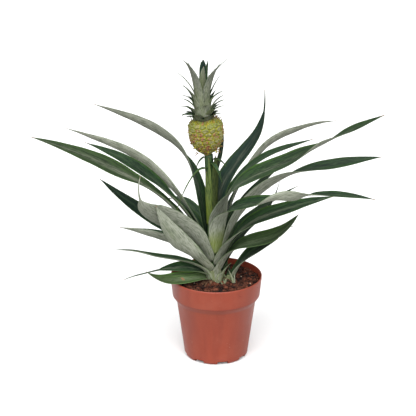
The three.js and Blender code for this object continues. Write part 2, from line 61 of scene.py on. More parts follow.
SOIL_LEVEL = 104.0
PLANT = Matrix.Translation((-1.7 * MM, 0, SOIL_LEVEL * MM)) @ Matrix.Rotation(math.radians(-2.7), 4, "Y")
SHOOT = Matrix.Translation((17.3 * MM, 0, SOIL_LEVEL * MM))
SHOOT_RADIUS = 4.6
# The radius of the fruit's stalk, how much thicker the stem is, and where and how gently they meet.
STALK_RADIUS, STEM_SWELL, STEM_TOP, STEM_BLEND = 5.6, 3.0, 66, 7
FRUIT_FOOT = (-2.0, 175.3)
CROWN_FOOT = (-4.4, 223.6)
CORE_RADIUS, CORE_HEIGHT = 10.8, 50

FRUIT_ROWS = 8
EYES_AROUND = 15
EYE_TWIST = 5.0
# The radius at which the eyes are laid out, how far an eye strays sideways and upwards, the width of the
# grooves, the size of the rind's small knobs, and the shares of the eyes with any bract and with a long one.
EYE_SPREAD = 18.5
EYE_STRAY = (2.0, 1.6)
GROOVE_WIDTH = 2.6
KNOB_SIZE = 2.1
BRACT_SHARE, LONG_SHARE = 0.62, 0.36
FRUIT_HEIGHT = 48.0
COLLAR_BRACTS = 24
FRUIT_RADII = (5, 11, 15.4, 18.2, 19.8, 20.4, 20.4, 19, 12)

STEP_HEIGHT = 84.8
RIM_RADIUS, POT_HEIGHT = 60.0, 112.0
CORNER_RADIUS, BASE_RADIUS = 4, 38
# Drain notches round the foot: how many, the heading of the first, their half width and their height.
NOTCHES, FIRST_NOTCH, NOTCH_HALF_WIDTH, NOTCH_HEIGHT = 8, 237, 7, 4.6
SOIL_RADIUS, SOIL_FOOT_RADIUS = 57.4, 38.4
SOIL_SIDE = ((50, 80), (49.6, 75))
WHITE_SHARE = 0.03
# How a blade narrows above its foot: by what share, how far along, and over what length. Then how far its
# foot stands from the stem, how long it clasps and flares from it, and how much thinner a small leaf is.
BLADE_WAIST = (0.18, 22, 16)
BLADE_GAP = 1.35
CLASP_LENGTH = 30
FLARE = 10
SMALL_RIB = 0.7

# One row for each leaf, as in the solids: where it leaves the stem, its heading, length and width, and its
# pitch, turn and roll at even steps. The rest is for its looks: tone and pale lighten or darken its upper and
# its under side, foot bares the under side near the stem, bloom lays grey wax and a painted sheen in the
# channel of the upper side, olive and blue tint the upper side, and mark gives it a brown scar. Pale above 1
# on leaf_08 and leaf_17 is painted bounce light from the floor on their under sides.
LEAVES = (
    dict(height=53, heading=150, length=268, width=27, taper=2.6,
         rise=(86, 83, 72, 42, 20, 13, 10), roll=(0, 0, 10, 50, 72, 72, 68), tone=0.95, pale=0.7),
    dict(height=48, heading=163, length=252, width=26, taper=3,
         rise=(81, 59, 49, 42, 23, 18, 16), roll=(0, 15, 40, 58, 62, 60, 50), tone=1.0, pale=0.9),
    dict(height=43, heading=186, length=224, width=28, taper=3.2,
         rise=(78, 63, 54, 48, 39, 31, 26), roll=(0, 0, 6, -10, -31, -32, -10), tone=0.9),
    dict(height=35, heading=203, length=304, width=33, taper=3.4,
         rise=(74, 60, 54, 46, 37, 35, 31, 28, 25), turn=(0, -3, -5),
         roll=(0, -5, -8, -6, -14, -40, -40, -36, -30), tone=1.05, bloom_and_sheen=1.4, olive=0.3),
    dict(height=24, heading=177, length=181, width=31,
         rise=(64, 41, 36, 41, 46), roll=(0, -10, -30, -42, -42), tone=0.8, blue=0.4),
    dict(height=30, heading=222, length=192, width=35, tail=0.84,
         rise=(71, 59, 46, 39, 34, 40, 80, 115), roll=(0, 15, 40, 50, 50, 40, 20, 0), taper=10, tone=1.0,
         pale=0.95),
    dict(height=20, heading=191, length=134, width=22,
         rise=(54, 45, 36, 33, 24, 22, 18), turn=(0, 5), roll=(0, 25, 60, 60), tone=1.0, pale=0.93),
    # Painted bounce light: pale above 1 lightens this leaf's under side past its silver scurf, for light from
    # the floor below.
    dict(height=16, heading=229, length=150, width=32,
         rise=(54, 46, 46, 52, 56, 60, 64), turn=(0, -4), roll=(0, 10, 40, 48, 45), taper=3, tone=1.05,
         pale=1.14),
    dict(height=12, heading=203, length=142, width=25,
         rise=(50, 33, 22, 20, 26, 18, 8), roll=(0, 8), tone=0.9),
    dict(height=9, heading=200, length=118, width=32, tail=0.62,
         rise=(42, 24, 11, 5, -3, -5, -14), roll=(-8, -20, -20, -10), taper=2, tone=0.95, bloom_and_sheen=0.8),
    dict(height=4, heading=212, length=100, width=31,
         rise=(30, 10, 12, 10, 20, 36, 50), roll=(-12, -22, -25), tone=1.7, olive=0.4, mark=1),
    dict(height=66, heading=49.5, length=207, width=30, tail=0.88, taper=4,
         rise=(86, 78, 48, 34, 43, 75, 93), turn=(0, -8, -12), tone=0.66, bloom_and_sheen=0.6, blue=0.7),
    dict(height=46, heading=32, length=256, width=26, out=0.6, hug=42,
         rise=(78, 65, 55, 43, 14, 4, -8), turn=(0, -5), roll=(0, -30, -55, -60, -55), tone=1.0, pale=0.76),
    dict(height=54, heading=356.5, length=203, width=24.5, taper=3.2, out=0.8,
         rise=(86, 79, 56, 36, 20, 16), roll=(0, 0, 10, 17), tone=0.9),
    dict(height=50, heading=300, length=336, width=33, out=1.6, taper=4.2,
         rise=(83, 73, 52, 33, 27, 30, 31, 28, 27), turn=(0, 30, 45),
         roll=(0, 0, 20, 30, 30, 22, -12, 20, 28), tone=0.92, foot=0.4, bloom_and_sheen=0.6, olive=0.12),
    dict(height=35, heading=359, length=268, width=28, taper=3.8, out=1.7, hug=40,
         rise=(76, 62, 45, 26, 12, 10, 7), turn=(0, -4, -5), roll=(0, -25, -40, -35, 10, 38, 38), tone=0.76),
    # Painted bounce light: pale above 1 lightens this leaf's under side past its silver scurf, for light from
    # the floor below.
    dict(height=42, heading=290, length=310, width=30, taper=3.2, out=2.2, hug=36,
         rise=(79, 67, 39, 21, 20, 17, 11, 2, -5), turn=(0, 12, 30, 42, 46),
         roll=(0, 8, 20, 22, 12, -52, -8, 20, 20), tone=0.82, foot=0.75, pale=1.3),
    dict(height=24, heading=315, length=205, width=36, hug=44, taper=3,
         rise=(66, 55, 36, 23, 20, 16), turn=(0, 16, 27, 30), roll=(0, 15, 25, 25), tone=1.1, bloom_and_sheen=1.0),
    dict(height=17, heading=325, length=151, width=34, hug=48, taper=5,
         rise=(64, 50, 21, 22, 42, 60), turn=(0, 10, 14), roll=(0, 18, 28), tone=1.45, olive=0.3),
    dict(height=32, heading=46, length=158, width=24, out=2.2, hug=38,
         rise=(72, 48, 37, 26, 14), turn=(0, -10), tone=0.6),
    dict(height=25, heading=23, length=134, width=17, hug=28,
         rise=(70, 48, 30, 40, 62, 76), turn=(0, -10, -16), tone=0.7),
    dict(height=18, heading=46, length=156, width=22, hug=40,
         rise=(60, 46, 28, 21, 15), turn=(0, -18, -20), tone=0.8),
    dict(height=28, heading=115, length=170, width=26, hug=34, rise=(72, 40, 10, -15, -30), tone=0.9),
    dict(height=15, heading=80, length=175, width=26, hug=44, rise=(54, 35, 5, -15, -30), tone=1.0),
    dict(height=9, heading=42, length=92, width=24, rise=(58, 48, 34, 20, 8), tone=0.9),
    dict(height=6, heading=134, length=150, width=20, hug=30, rise=(42, 26, 10, -5, -10), tone=1.0),
)

SHOOT_LEAVES = (
    dict(height=5, heading=345, length=86, width=31, taper=3,
         rise=(72, 60, 47, 38, 32, 34), roll=(0, 20, 25), tone=0.8),
    dict(height=2, heading=44, length=122, width=14,
         rise=(60, 42, 24, 12, 4), turn=(0, -25), roll=(0, -20), tone=0.9),
)

STALK_LEAVES = (
    dict(height=157, heading=221, length=84, width=8, out=-1,
         rise=(20, -34, -50, -60, -66), roll=(0, 40, 40, 20), tone=1.1),
    dict(height=80, heading=245, length=74, width=12, rise=(89, 89, 89, 86), tone=1.15, foot=1.0),
    dict(height=96, heading=328, length=66, width=11, rise=(89, 89, 88, 82), tone=0.8),
    dict(height=136, heading=35, length=84, width=12, rise=(74, 69, 75, 90, 93), tone=0.9),
    dict(height=165, heading=300, length=34, width=6, out=-1, rise=(10, -40, -62, -75), turn=(0, 20)),
    dict(height=172, heading=200, length=18, width=5, out=-0.9, rise=(-20, -50, -75)),
    dict(height=168, heading=350, length=20, width=7, out=-1, rise=(10, -35, -60)),
)

# The crown's leaves that show from the front, then the rule that fills in its back and its collar.
CROWN_LEAVES = (
    dict(height=2, heading=192, length=20, width=8, rise=(62, 28, -10, -30), taper=3),
    dict(height=4, heading=206, length=25, width=7, rise=(40, 14, 16, 30)),
    dict(height=8, heading=198, length=23, width=9, rise=(66, 44, 14, 0), turn=(0, -14)),
    dict(height=13, heading=206, length=25, width=10, rise=(70, 52, 34, 18), turn=(0, -18, -24)),
    dict(height=17, heading=190, length=26, width=7, rise=(72, 54, 30, 14)),
    dict(height=19, heading=222, length=36, width=12, rise=(78, 66, 48, 34), turn=(0, -20, -36)),
    dict(height=26, heading=186, length=46, width=9, rise=(80, 64, 50, 42)),
    dict(height=13, heading=246, length=78, width=18,
         rise=(86, 80, 66, 48), turn=(0, -10, -22, -32), taper=2.8),
    dict(height=30, heading=70, length=44, width=14, rise=(88, 86, 86), taper=6, tone=0.8, blue=0.7),
    dict(height=29, heading=290, length=41, width=13, rise=(89, 88, 84), turn=(0, 30), taper=6),
    dict(height=22, heading=308, length=75, width=18,
         rise=(84, 70, 50, 36), turn=(0, 12, 24, 30), taper=2.8, tail=0.9),
    dict(height=26, heading=8, length=48, width=13, rise=(84, 70, 54), turn=(0, -10), taper=1.8),
    dict(height=25, heading=20, length=36, width=5, rise=(68, 58, 46)),
    dict(height=15, heading=322, length=34, width=13, rise=(76, 60, 34, 22), turn=(0, 24, 34)),
    dict(height=12, heading=344, length=28, width=11, rise=(66, 54, 38, 30), turn=(0, 10)),
    dict(height=11, heading=12, length=22, width=6, rise=(52, 36, 18, 10)),
    dict(height=6, heading=344, length=23, width=9, rise=(60, 42, 20, 10)),
    dict(height=3, heading=240, length=21, width=14, rise=(84, 78, 60, 20), taper=3),
    dict(height=4, heading=282, length=22, width=16, rise=(84, 80, 60, 10), taper=3),
    dict(height=8, heading=300, length=30, width=15, rise=(84, 80, 66, 36)),
    dict(height=9, heading=232, length=30, width=14, rise=(84, 80, 62, 32)),
)
CROWN_FILL = 34
CROWN_COLLAR = 16
GOLDEN_ANGLE = 137.5

# Narrow leaves that lie along the stalk.
STALK_SHEATHS = (
    dict(height=96, heading=315, length=80, width=12, out=1.2, hug=60,
         rise=(87, 86, 86, 88, 88), taper=6, pale=0.5),
    dict(height=108, heading=352, length=66, width=13, out=0.4, hug=70,
         rise=(88, 86, 85, 84), taper=4, pale=0.42),
    dict(height=112, heading=270, length=60, width=7, out=-0.2, rise=(89, 89, 89, 89), taper=3, pale=1.15),
    dict(height=92, heading=100, length=76, width=13, rise=(89, 88, 86, 84), taper=3, pale=0.6),
)

# Short sheaths round the foot of the stem, and what stands round the side shoot.
FOOT_SHEATHS = (
    dict(height=1, heading=222, length=34, width=20, rise=(80, 66, 50, 44), taper=2, foot=0.25),
    dict(height=0, heading=262, length=20, width=19, rise=(84, 76, 66), taper=6, foot=0.5),
    dict(height=3, heading=286, length=34, width=20, out=0.4, rise=(82, 70, 60, 56), taper=1.8, foot=0.3),
    dict(height=0, heading=312, length=17, width=17, out=1.2, rise=(80, 70, 60), taper=7, foot=0.55),
    dict(height=2, heading=345, length=28, width=19, rise=(78, 60, 44), taper=2, foot=0.25),
    dict(height=0, heading=25, length=24, width=19, rise=(80, 64, 50), taper=3, foot=0.3),
    dict(height=1, heading=72, length=30, width=20, rise=(82, 62, 46), taper=2, foot=0.2),
    dict(height=0, heading=118, length=22, width=19, rise=(82, 70, 60), taper=5, foot=0.45),
    dict(height=2, heading=160, length=28, width=19, rise=(80, 62, 48), taper=2, foot=0.2),
)
SHOOT_SHEATHS = (
    dict(height=0, heading=200, length=15, width=9, rise=(84, 74, 66), taper=2, foot=0.35),
    dict(height=0, heading=262, length=12, width=9, rise=(82, 70, 60), taper=4, foot=0.5),
    dict(height=0, heading=90, length=16, width=9, rise=(82, 66, 50), taper=2, foot=0.25),
)
DRY_SCRAPS = (
    dict(height=5, heading=204, length=28, width=7, rise=(14, -26, -8), roll=(0, 40, 10), taper=2),
    dict(height=3, heading=222, length=25, width=6, rise=(22, -20, -6), roll=(0, -35, -60), turn=(0, 20)),
    dict(height=4, heading=238, length=20, width=7, rise=(30, -28, -12), roll=(0, 30)),
    dict(height=3, heading=190, length=24, width=5, rise=(15, -20, -2), turn=(0, -25)),
    dict(height=3, heading=252, length=15, width=5, rise=(40, -20, -30), roll=(0, -30)),
    dict(height=3, heading=332, length=18, width=5, rise=(30, -20, -12), turn=(0, 20)),
    dict(height=3, heading=95, length=22, width=6, rise=(26, -22, -8), roll=(0, 30)),
)
# Young shoots: where each stands from the pot's middle, then the heading, length, width and pitch of the
# larger of its two facing blades.
YOUNG_SHOOTS = (
    (23, -8, 205, 22, 9.5, 78),
    (3, -12, 250, 9, 7.0, 84),
    (11, -10, 300, 11, 7.5, 76),
    (9, -13, 190, 7, 5.5, 80),
)


def shade(red, green, blue):
    """A display colour of 0 to 255 as the linear values that shaders take."""
    channels = []
    for value in (red, green, blue):
        part = value / 255
        channels.append(part / 12.92 if part <= 0.04045 else ((part + 0.055) / 1.055) ** 2.4)
    return tuple(channels)


def colour_setting(name, description, rgb):
    """A colour that a user can change."""
    return FloatVectorProperty(name=name, description=description, subtype="COLOR", size=3, min=0, max=1,
                               default=shade(*rgb))


# ------------------------------------------------------------------ settings


class PineappleLeafSettings(bpy.types.PropertyGroup):
    """Sizes and colours of the strap leaves."""

    edge: FloatProperty(name="Edge thickness", description="Thickness of a leaf along its edges",
                        unit="LENGTH", default=0.45 * MM, min=0.2 * MM, max=2 * MM, precision=5)
    rib: FloatProperty(name="Middle thickness", description="Thickness of a leaf along its middle",
                       unit="LENGTH", default=1.15 * MM, min=0.3 * MM, max=3 * MM, precision=5)
    wave: FloatProperty(name="Edge wave", description="How far a leaf's edges wave up and down",
                        unit="LENGTH", default=0.5 * MM, min=0, max=3 * MM, precision=5)
    deep: colour_setting("Deep green", "Upper side, in its darkest lines", (22, 42, 32))
    fresh: colour_setting("Fresh green", "Upper side, in its lightest lines", (56, 86, 50))
    margin: colour_setting("Margin", "Upper side along the edges", (66, 98, 38))
    # Grey wax bloom, with a painted sheen of reflected light, in the channel of the upper side.
    bloom_and_sheen: colour_setting("Bloom", "Grey wax in the channel of the upper side", (124, 128, 112))
    olive: colour_setting("Olive", "Upper side of the leaves that turn brownish", (78, 84, 44))
    blue: colour_setting("Blue green", "Upper side of the youngest leaves", (36, 62, 58))
    silver: colour_setting("Silver", "Scurf of the under side", (162, 166, 150))
    shadow: colour_setting("Under-side lines", "Lines between the scurf of the under side", (110, 118, 100))
    rubbed: colour_setting("Rubbed scurf", "Under side where the scurf is thin", (108, 120, 90))
    foot: colour_setting("Foot", "Where the scurf is rubbed from a leaf's foot", (112, 126, 44))
    sheath: colour_setting("Stalk leaf", "Outer side of the stalk's leaves", (98, 112, 60))
    sheath_line: colour_setting("Stalk leaf lines", "Lines along the stalk's leaves", (50, 72, 40))
    stalk: colour_setting("Stalk", "Skin of the fruit's stalk", (52, 82, 42))
    dry: colour_setting("Dry", "Withered tips and scraps", (112, 84, 62))
    dry_dark: colour_setting("Dark dry", "Darker streaks in the withered scraps", (58, 34, 26))


class PineappleFruitSettings(bpy.types.PropertyGroup):
    """Sizes and colours of the fruit."""

    eye_height: FloatProperty(name="Eye height", description="How far an eye stands above its grooves",
                              unit="LENGTH", default=2.52 * MM, min=0, max=4 * MM, precision=5)
    bract_length: FloatProperty(name="Bract length", description="Length of the dry leaf on an eye",
                         unit="LENGTH", default=7.5 * MM, min=1 * MM, max=15 * MM, precision=5)
    rows: IntProperty(name="Mesh rows", description="Rows of faces up the fruit", default=150, min=30,
                      max=260)
    rind: colour_setting("Rind", "Yellow-green of the eyes' borders", (154, 152, 28))
    eye: colour_setting("Eye", "Greyish green of the eyes' faces", (138, 134, 88))
    leafy: colour_setting("Leafy green", "Greener rind towards the crown", (102, 116, 40))
    # Groove: dark olive painted shade along the bottom of the grooves between the eyes.
    groove_shade: colour_setting("Groove", "Dark olive between the eyes", (84, 78, 16))
    blush: colour_setting("Blush", "Withered pinkish brown on some eyes", (142, 90, 62))
    bract: colour_setting("Bract", "Half-dry bracts", (146, 112, 62))
    bract_tip: colour_setting("Bract tip", "Dry end of a bract", (92, 46, 36))


class PineappleCrownSettings(bpy.types.PropertyGroup):
    """Sizes and colours of the crown."""

    edge: FloatProperty(name="Edge thickness", description="Thickness of a crown leaf along its edges",
                        unit="LENGTH", default=0.35 * MM, min=0.2 * MM, max=2 * MM, precision=5)
    rib: FloatProperty(name="Middle thickness", description="Thickness of a crown leaf along its middle",
                       unit="LENGTH", default=0.8 * MM, min=0.3 * MM, max=3 * MM, precision=5)
    silver: colour_setting("Silver", "Scurf of the outer side", (140, 142, 130))
    shadow: colour_setting("Outer lines", "Lines between the scurf of the outer side", (84, 94, 80))


class PineappleSoilSettings(bpy.types.PropertyGroup):
    """Sizes and colours of the potting mix."""

    crumbs: IntProperty(name="Crumbs", description="How many loose crumbs lie on the soil", default=1500,
                        min=0, max=4000)
    crumb_size: FloatProperty(name="Crumb size", description="Length of a common crumb", unit="LENGTH",
                              default=3.4 * MM, min=0.5 * MM, max=8 * MM, precision=5)
    fibres: IntProperty(name="Fibres", description="How many coir fibres lie on the soil", default=170,
                        min=0, max=1000)
    dark: colour_setting("Dark peat", "The darkest crumbs", (26, 14, 11))
    brown: colour_setting("Coir", "The lightest crumbs", (112, 64, 46))
    perlite: colour_setting("Perlite", "The white grains", (206, 190, 168))


class PineapplePotSettings(bpy.types.PropertyGroup):
    """Sizes and colours of the nursery pot."""

    lip: FloatProperty(name="Lip", description="Thickness of the rolled lip", unit="LENGTH",
                       default=1.6 * MM, min=0.8 * MM, max=4 * MM, precision=5)
    sides: IntProperty(name="Sides", description="Faces round the pot", default=160, min=40, max=360)
    clay: colour_setting("Terracotta", "The moulded plastic", (143, 62, 42))
    worn: colour_setting("Worn", "Scuffed and dusty plastic", (150, 78, 60))
    deep: colour_setting("Deep", "Plastic in the grooves and the inside", (112, 46, 34))
    # Deep: darker plastic of the flow lines, also the colour of the painted shade line along the step.
    scuff: colour_setting("Scuffs", "Small pale scratches", (206, 164, 146))
    dirt: colour_setting("Dirt", "Specks of peat that stick to the plastic", (40, 24, 20))


CAMERA_AIM = (-0.0107, 0, 0.205)
FLOOR_REACH = 12
LAMP_DISTANCE = 2
# The stage's lamps: azimuth from the front, elevation, spread in degrees, and share of the key's strength.
LAMPS = (("key", -14, 45, 70, 1.0), ("fill", 38, 32, 70, 0.3), ("top", 0, 88, 110, 0.32))


class PineappleStageSettings(bpy.types.PropertyGroup):
    """The floor, lights and camera."""

    floor: colour_setting("Floor", "The pale floor", (244, 244, 244))
    lens: FloatProperty(name="Lens", description="Focal length of the camera", subtype="DISTANCE_CAMERA",
                        default=147.4, min=20, max=400)
    distance: FloatProperty(name="Camera distance", description="From the camera to what it looks at",
                            unit="LENGTH", default=2.2, min=0.5, max=10)
    elevation: FloatProperty(name="Camera elevation", description="Height of the camera as an angle",
                             subtype="ANGLE", default=math.radians(21), min=0, max=math.pi / 2)
    key: FloatProperty(name="Key light", description="Strength of the main soft light", default=3.5,
                       min=0, max=20)
    sky: FloatProperty(name="Sky", description="Strength of the even light from all round", default=0.4,
                       min=0, max=5)


# ------------------------------------------------------------------ finishes


class Finish:
    """A procedural finish while its nodes are laid out."""

    def __init__(self, name):
        self.material = bpy.data.materials.new(name)
        self.material.use_nodes = True
        self.tree = self.material.node_tree
        self.skin = self.tree.nodes["Principled BSDF"]

    def node(self, kind, **settings):
        made = self.tree.nodes.new(kind)
        for key, value in settings.items():
            setattr(made, key, value)
        return made

    def join(self, source, socket):
        """Feeds a socket from another socket, or sets it to a plain value."""
        if isinstance(source, bpy.types.NodeSocket):
            self.tree.links.new(source, socket)
        elif hasattr(socket.default_value, "__len__") and not hasattr(source, "__len__"):
            socket.default_value = [source] * len(socket.default_value)
        elif hasattr(source, "__len__") and len(source) == 3 and len(socket.default_value) == 4:
            socket.default_value = (*source, 1)
        else:
            socket.default_value = source

    def attribute(self, name):
        return self.node("ShaderNodeAttribute", attribute_name=name).outputs["Vector"]

    def parts(self, vector):
        split = self.node("ShaderNodeSeparateXYZ")
        self.join(vector, split.inputs[0])
        return split.outputs

    def sum(self, operation, first, second=0.5, third=0.5, clamp=False):
        made = self.node("ShaderNodeMath", operation=operation, use_clamp=clamp)
        for source, socket in zip((first, second, third), made.inputs):
            self.join(source, socket)
        return made.outputs[0]

    def span(self, value, low, high, start=0.0, end=1.0, smooth=True):
        """Maps a value from one range to another and holds it inside."""
        made = self.node("ShaderNodeMapRange", clamp=True)
        made.interpolation_type = "SMOOTHSTEP" if smooth else "LINEAR"
        for source, key in ((value, "Value"), (low, "From Min"), (high, "From Max"), (start, "To Min"),
                            (end, "To Max")):
            self.join(source, made.inputs[key])
        return made.outputs["Result"]

    def blend(self, amount, first, second, mode="MIX"):
        made = self.node("ShaderNodeMix", data_type="RGBA", blend_type=mode)
        self.join(amount, made.inputs[0])
        self.join(first, made.inputs[6])
        self.join(second, made.inputs[7])
        return made.outputs[2]

    def stretch(self, vector, scale):
        made = self.node("ShaderNodeMapping", vector_type="POINT")
        self.join(vector, made.inputs["Vector"])
        self.join(scale, made.inputs["Scale"])
        return made.outputs[0]

    def noise(self, vector, scale, detail=2.0, roughness=0.5):
        made = self.node("ShaderNodeTexNoise")
        for source, key in ((vector, "Vector"), (scale, "Scale"), (detail, "Detail"),
                            (roughness, "Roughness")):
            self.join(source, made.inputs[key])
        return made.outputs[0]

    def place(self):
        return self.node("ShaderNodeTexCoord").outputs["Object"]

    def bump(self, height, strength, distance):
        made = self.node("ShaderNodeBump")
        self.join(height, made.inputs["Height"])
        self.join(strength, made.inputs["Strength"])
        self.join(distance, made.inputs["Distance"])
        self.tree.links.new(made.outputs[0], self.skin.inputs["Normal"])

    def set(self, **sockets):
        for key, source in sockets.items():
            self.join(source, self.skin.inputs[key.replace("_", " ")])


def leaf_finish(name, settings, silver, shadow, grain=1.0):
    """Waxy green above, with grey wax and a painted sheen in its channel, and silver scurf below, with fine
    lines and flecks that run along the leaf.
    """
    leaf = Finish(name)
    strip = leaf.attribute("strip")
    across, along, under = leaf.parts(leaf.attribute("blade"))
    tone, foot, bloom_and_sheen = leaf.parts(leaf.attribute("looks"))
    olive, blue, mark = leaf.parts(leaf.attribute("cast"))
    reach = leaf.parts(strip)[1]
    fine = leaf.noise(leaf.stretch(strip, (1900 * grain, 130 * grain, 1)), 1.0, 3.0, 0.6)
    lines = leaf.noise(leaf.stretch(strip, (850 * grain, 12, 1)), 1.0, 3.0, 0.6)
    fleck = leaf.noise(leaf.stretch(strip, (900 * grain, 95 * grain, 1)), 1.0, 4.0, 0.7)
    patch = leaf.noise(leaf.stretch(strip, (95 * grain, 17, 1)), 1.0, 3.0)
    edge = leaf.sum("ABSOLUTE", across)
    streak = leaf.sum("MULTIPLY", leaf.sum("ADD", lines, fleck), 0.5)

    green = leaf.blend(leaf.span(streak, 0.4, 0.6), settings.deep, settings.fresh)
    tint = leaf.span(lines, 0.35, 0.65, 0.6, 1.0)
    green = leaf.blend(leaf.sum("MULTIPLY", olive, tint), green, settings.olive)
    green = leaf.blend(leaf.sum("MULTIPLY", blue, tint), green, settings.blue)
    green = leaf.blend(leaf.span(edge, 0.74, 0.97, 0, 0.72), green, settings.margin)
    # Painted sheen: grey wax bloom in the channel of the upper side, lightened as a sheen of reflected light,
    # less towards the tip.
    channel = leaf.span(edge, 0.04, 0.5, 1, 0)
    wax_and_sheen = leaf.sum("MULTIPLY", leaf.sum("MULTIPLY", channel, leaf.span(streak, 0.4, 0.56)), bloom_and_sheen)
    wax_and_sheen = leaf.sum("MULTIPLY", wax_and_sheen, leaf.span(patch, 0.3, 0.55))
    wax_and_sheen = leaf.sum("MULTIPLY", wax_and_sheen, leaf.span(along, 0.45, 0.75, 1, 0.45))
    green = leaf.blend(leaf.sum("MULTIPLY", wax_and_sheen, 0.85), green, settings.bloom_and_sheen)
    green = leaf.blend(1.0, green, leaf.span(fine, 0.3, 0.7, 0.72, 1.28, False), "MULTIPLY")
    green = leaf.blend(1.0, green, leaf.span(along, 0.3, 0.7, 1.0, 0.66), "MULTIPLY")

    scurf = leaf.blend(leaf.span(fleck, 0.36, 0.56), shadow, silver)
    thin = leaf.sum("MULTIPLY", leaf.span(patch, 0.5, 0.78), leaf.span(lines, 0.4, 0.6, 0.15, 0.6))
    scurf = leaf.blend(thin, scurf, settings.rubbed)
    scurf = leaf.blend(leaf.span(edge, 0.92, 1.0, 0, 0.5), scurf, settings.margin)
    bare = leaf.sum("MULTIPLY", leaf.span(patch, 0.35, 0.55, 0.3, 1), leaf.span(reach, 0.014, 0.05, 1, 0))
    scurf = leaf.blend(leaf.sum("MULTIPLY", bare, foot), scurf, settings.foot)
    scurf = leaf.blend(1.0, scurf, leaf.span(fine, 0.3, 0.7, 0.74, 1.2, False), "MULTIPLY")

    colour = leaf.blend(under, green, scurf)
    spot = leaf.span(leaf.sum("ABSOLUTE", leaf.sum("SUBTRACT", along, 0.4)), 0.01, 0.03, 1, 0)
    spot = leaf.sum("MULTIPLY", spot, leaf.span(leaf.sum("ABSOLUTE", across), 0.1, 0.35, 1, 0))
    colour = leaf.blend(leaf.sum("MULTIPLY", spot, mark), colour, settings.dry)
    colour = leaf.blend(1.0, colour, tone, "MULTIPLY")
    colour = leaf.blend(leaf.span(along, 0.975, 0.995, 0, 0.8), colour, settings.dry)
    gloss = leaf.span(fine, 0.3, 0.7, 0.5, 0.62)
    rough = leaf.sum("ADD", gloss, leaf.sum("MULTIPLY", under, 0.2))
    leaf.set(Base_Color=colour, Roughness=rough, Specular_IOR_Level=0.18)
    leaf.bump(leaf.sum("ADD", fine, leaf.sum("MULTIPLY", lines, 1.6)), 0.4, 0.4 * MM)
    return leaf.material


def dry_finish(name, light, dark):
    """Withered brown leaf, streaked lighter and darker."""
    husk = Finish(name)
    place = husk.place()
    streak = husk.noise(husk.stretch(place, (420, 420, 160)), 1.0, 3.0, 0.6)
    fine = husk.noise(place, 1500, 2.0)
    colour = husk.blend(husk.span(streak, 0.35, 0.65), dark, light)
    colour = husk.blend(1.0, colour, husk.span(fine, 0.3, 0.7, 0.75, 1.2, False), "MULTIPLY")
    husk.set(Base_Color=colour, Roughness=0.8, Specular_IOR_Level=0.25)
    husk.bump(husk.sum("ADD", streak, fine), 0.6, 0.4 * MM)
    return husk.material


def fruit_finish(settings):
    """Yellow-green rind with greyer eyes, dark olive painted shade along the bottom of the grooves, and
    withered patches.
    """
    rind = Finish("fruit_rind")
    near, bract, lot = rind.parts(rind.attribute("eye"))
    climb, _, _ = rind.parts(rind.attribute("rise"))
    place = rind.place()
    fine = rind.noise(place, 1100, 4.0, 0.65)
    patch = rind.noise(place, 260, 3.0, 0.6)
    cloud = rind.noise(place, 75, 2.0)
    # Painted shade: dark olive along the bottom of the grooves between the eyes.
    colour = rind.blend(rind.span(near, 0.0, 0.12), settings.groove_shade, settings.rind)
    face = rind.sum("MULTIPLY", rind.span(near, 0.34, 0.66), rind.span(patch, 0.32, 0.55, 0.4, 1))
    colour = rind.blend(face, colour, settings.eye)
    shoulder = rind.sum("MULTIPLY", rind.span(climb, 0.6, 1.0, 0, 0.7), rind.span(cloud, 0.35, 0.6, 0.2, 1))
    colour = rind.blend(shoulder, colour, settings.leafy)
    dry = rind.sum("ADD", lot, rind.span(climb, 0.0, 0.7, 0.16, -0.1))
    withered = rind.sum("MULTIPLY", rind.span(near, 0.35, 0.75), rind.span(dry, 0.5, 0.72))
    withered = rind.sum("MULTIPLY", withered, rind.span(patch, 0.42, 0.58, 0.0, 1))
    colour = rind.blend(withered, colour, settings.blush)
    colour = rind.blend(1.0, colour, rind.span(fine, 0.3, 0.7, 0.4, 1.5, False), "MULTIPLY")
    colour = rind.blend(1.0, colour, rind.span(patch, 0.3, 0.7, 0.66, 1.18, False), "MULTIPLY")
    husk = rind.blend(rind.span(bract, 0.45, 0.95), settings.bract, settings.bract_tip)
    husk = rind.blend(rind.span(dry, 0.45, 0.7, 0.7, 0.0), husk, settings.rind)
    colour = rind.blend(rind.span(bract, 0.1, 0.45), colour, husk)
    colour = rind.blend(rind.span(bract, 0.8, 1.0), colour, settings.bract_tip)
    rind.set(Base_Color=colour, Roughness=rind.span(fine, 0.3, 0.7, 0.45, 0.68),
             Specular_IOR_Level=0.4)
    rind.bump(rind.sum("ADD", fine, patch), 0.7, 0.6 * MM)
    return rind.material


def soil_finish(settings):
    """Peat and coir crumbs, each with its own brown, and a few white grains."""
    soil = Finish("potting_mix")
    lot, white, _ = soil.parts(soil.attribute("crumb"))
    place = soil.place()
    grit = soil.noise(place, 700, 4.0, 0.65)
    clump = soil.noise(place, 150, 2.0)
    amount = soil.sum("ADD", soil.sum("MULTIPLY", lot, 0.75), soil.span(clump, 0.3, 0.7, -0.15, 0.3))
    colour = soil.blend(soil.span(amount, 0.05, 1.0), settings.dark, settings.brown)
    colour = soil.blend(1.0, colour, soil.span(grit, 0.3, 0.7, 0.55, 1.45, False), "MULTIPLY")
    colour = soil.blend(white, colour, settings.perlite)
    soil.set(Base_Color=colour, Roughness=0.92, Specular_IOR_Level=0.25)
    soil.bump(grit, 0.9, 0.8 * MM)
    return soil.material


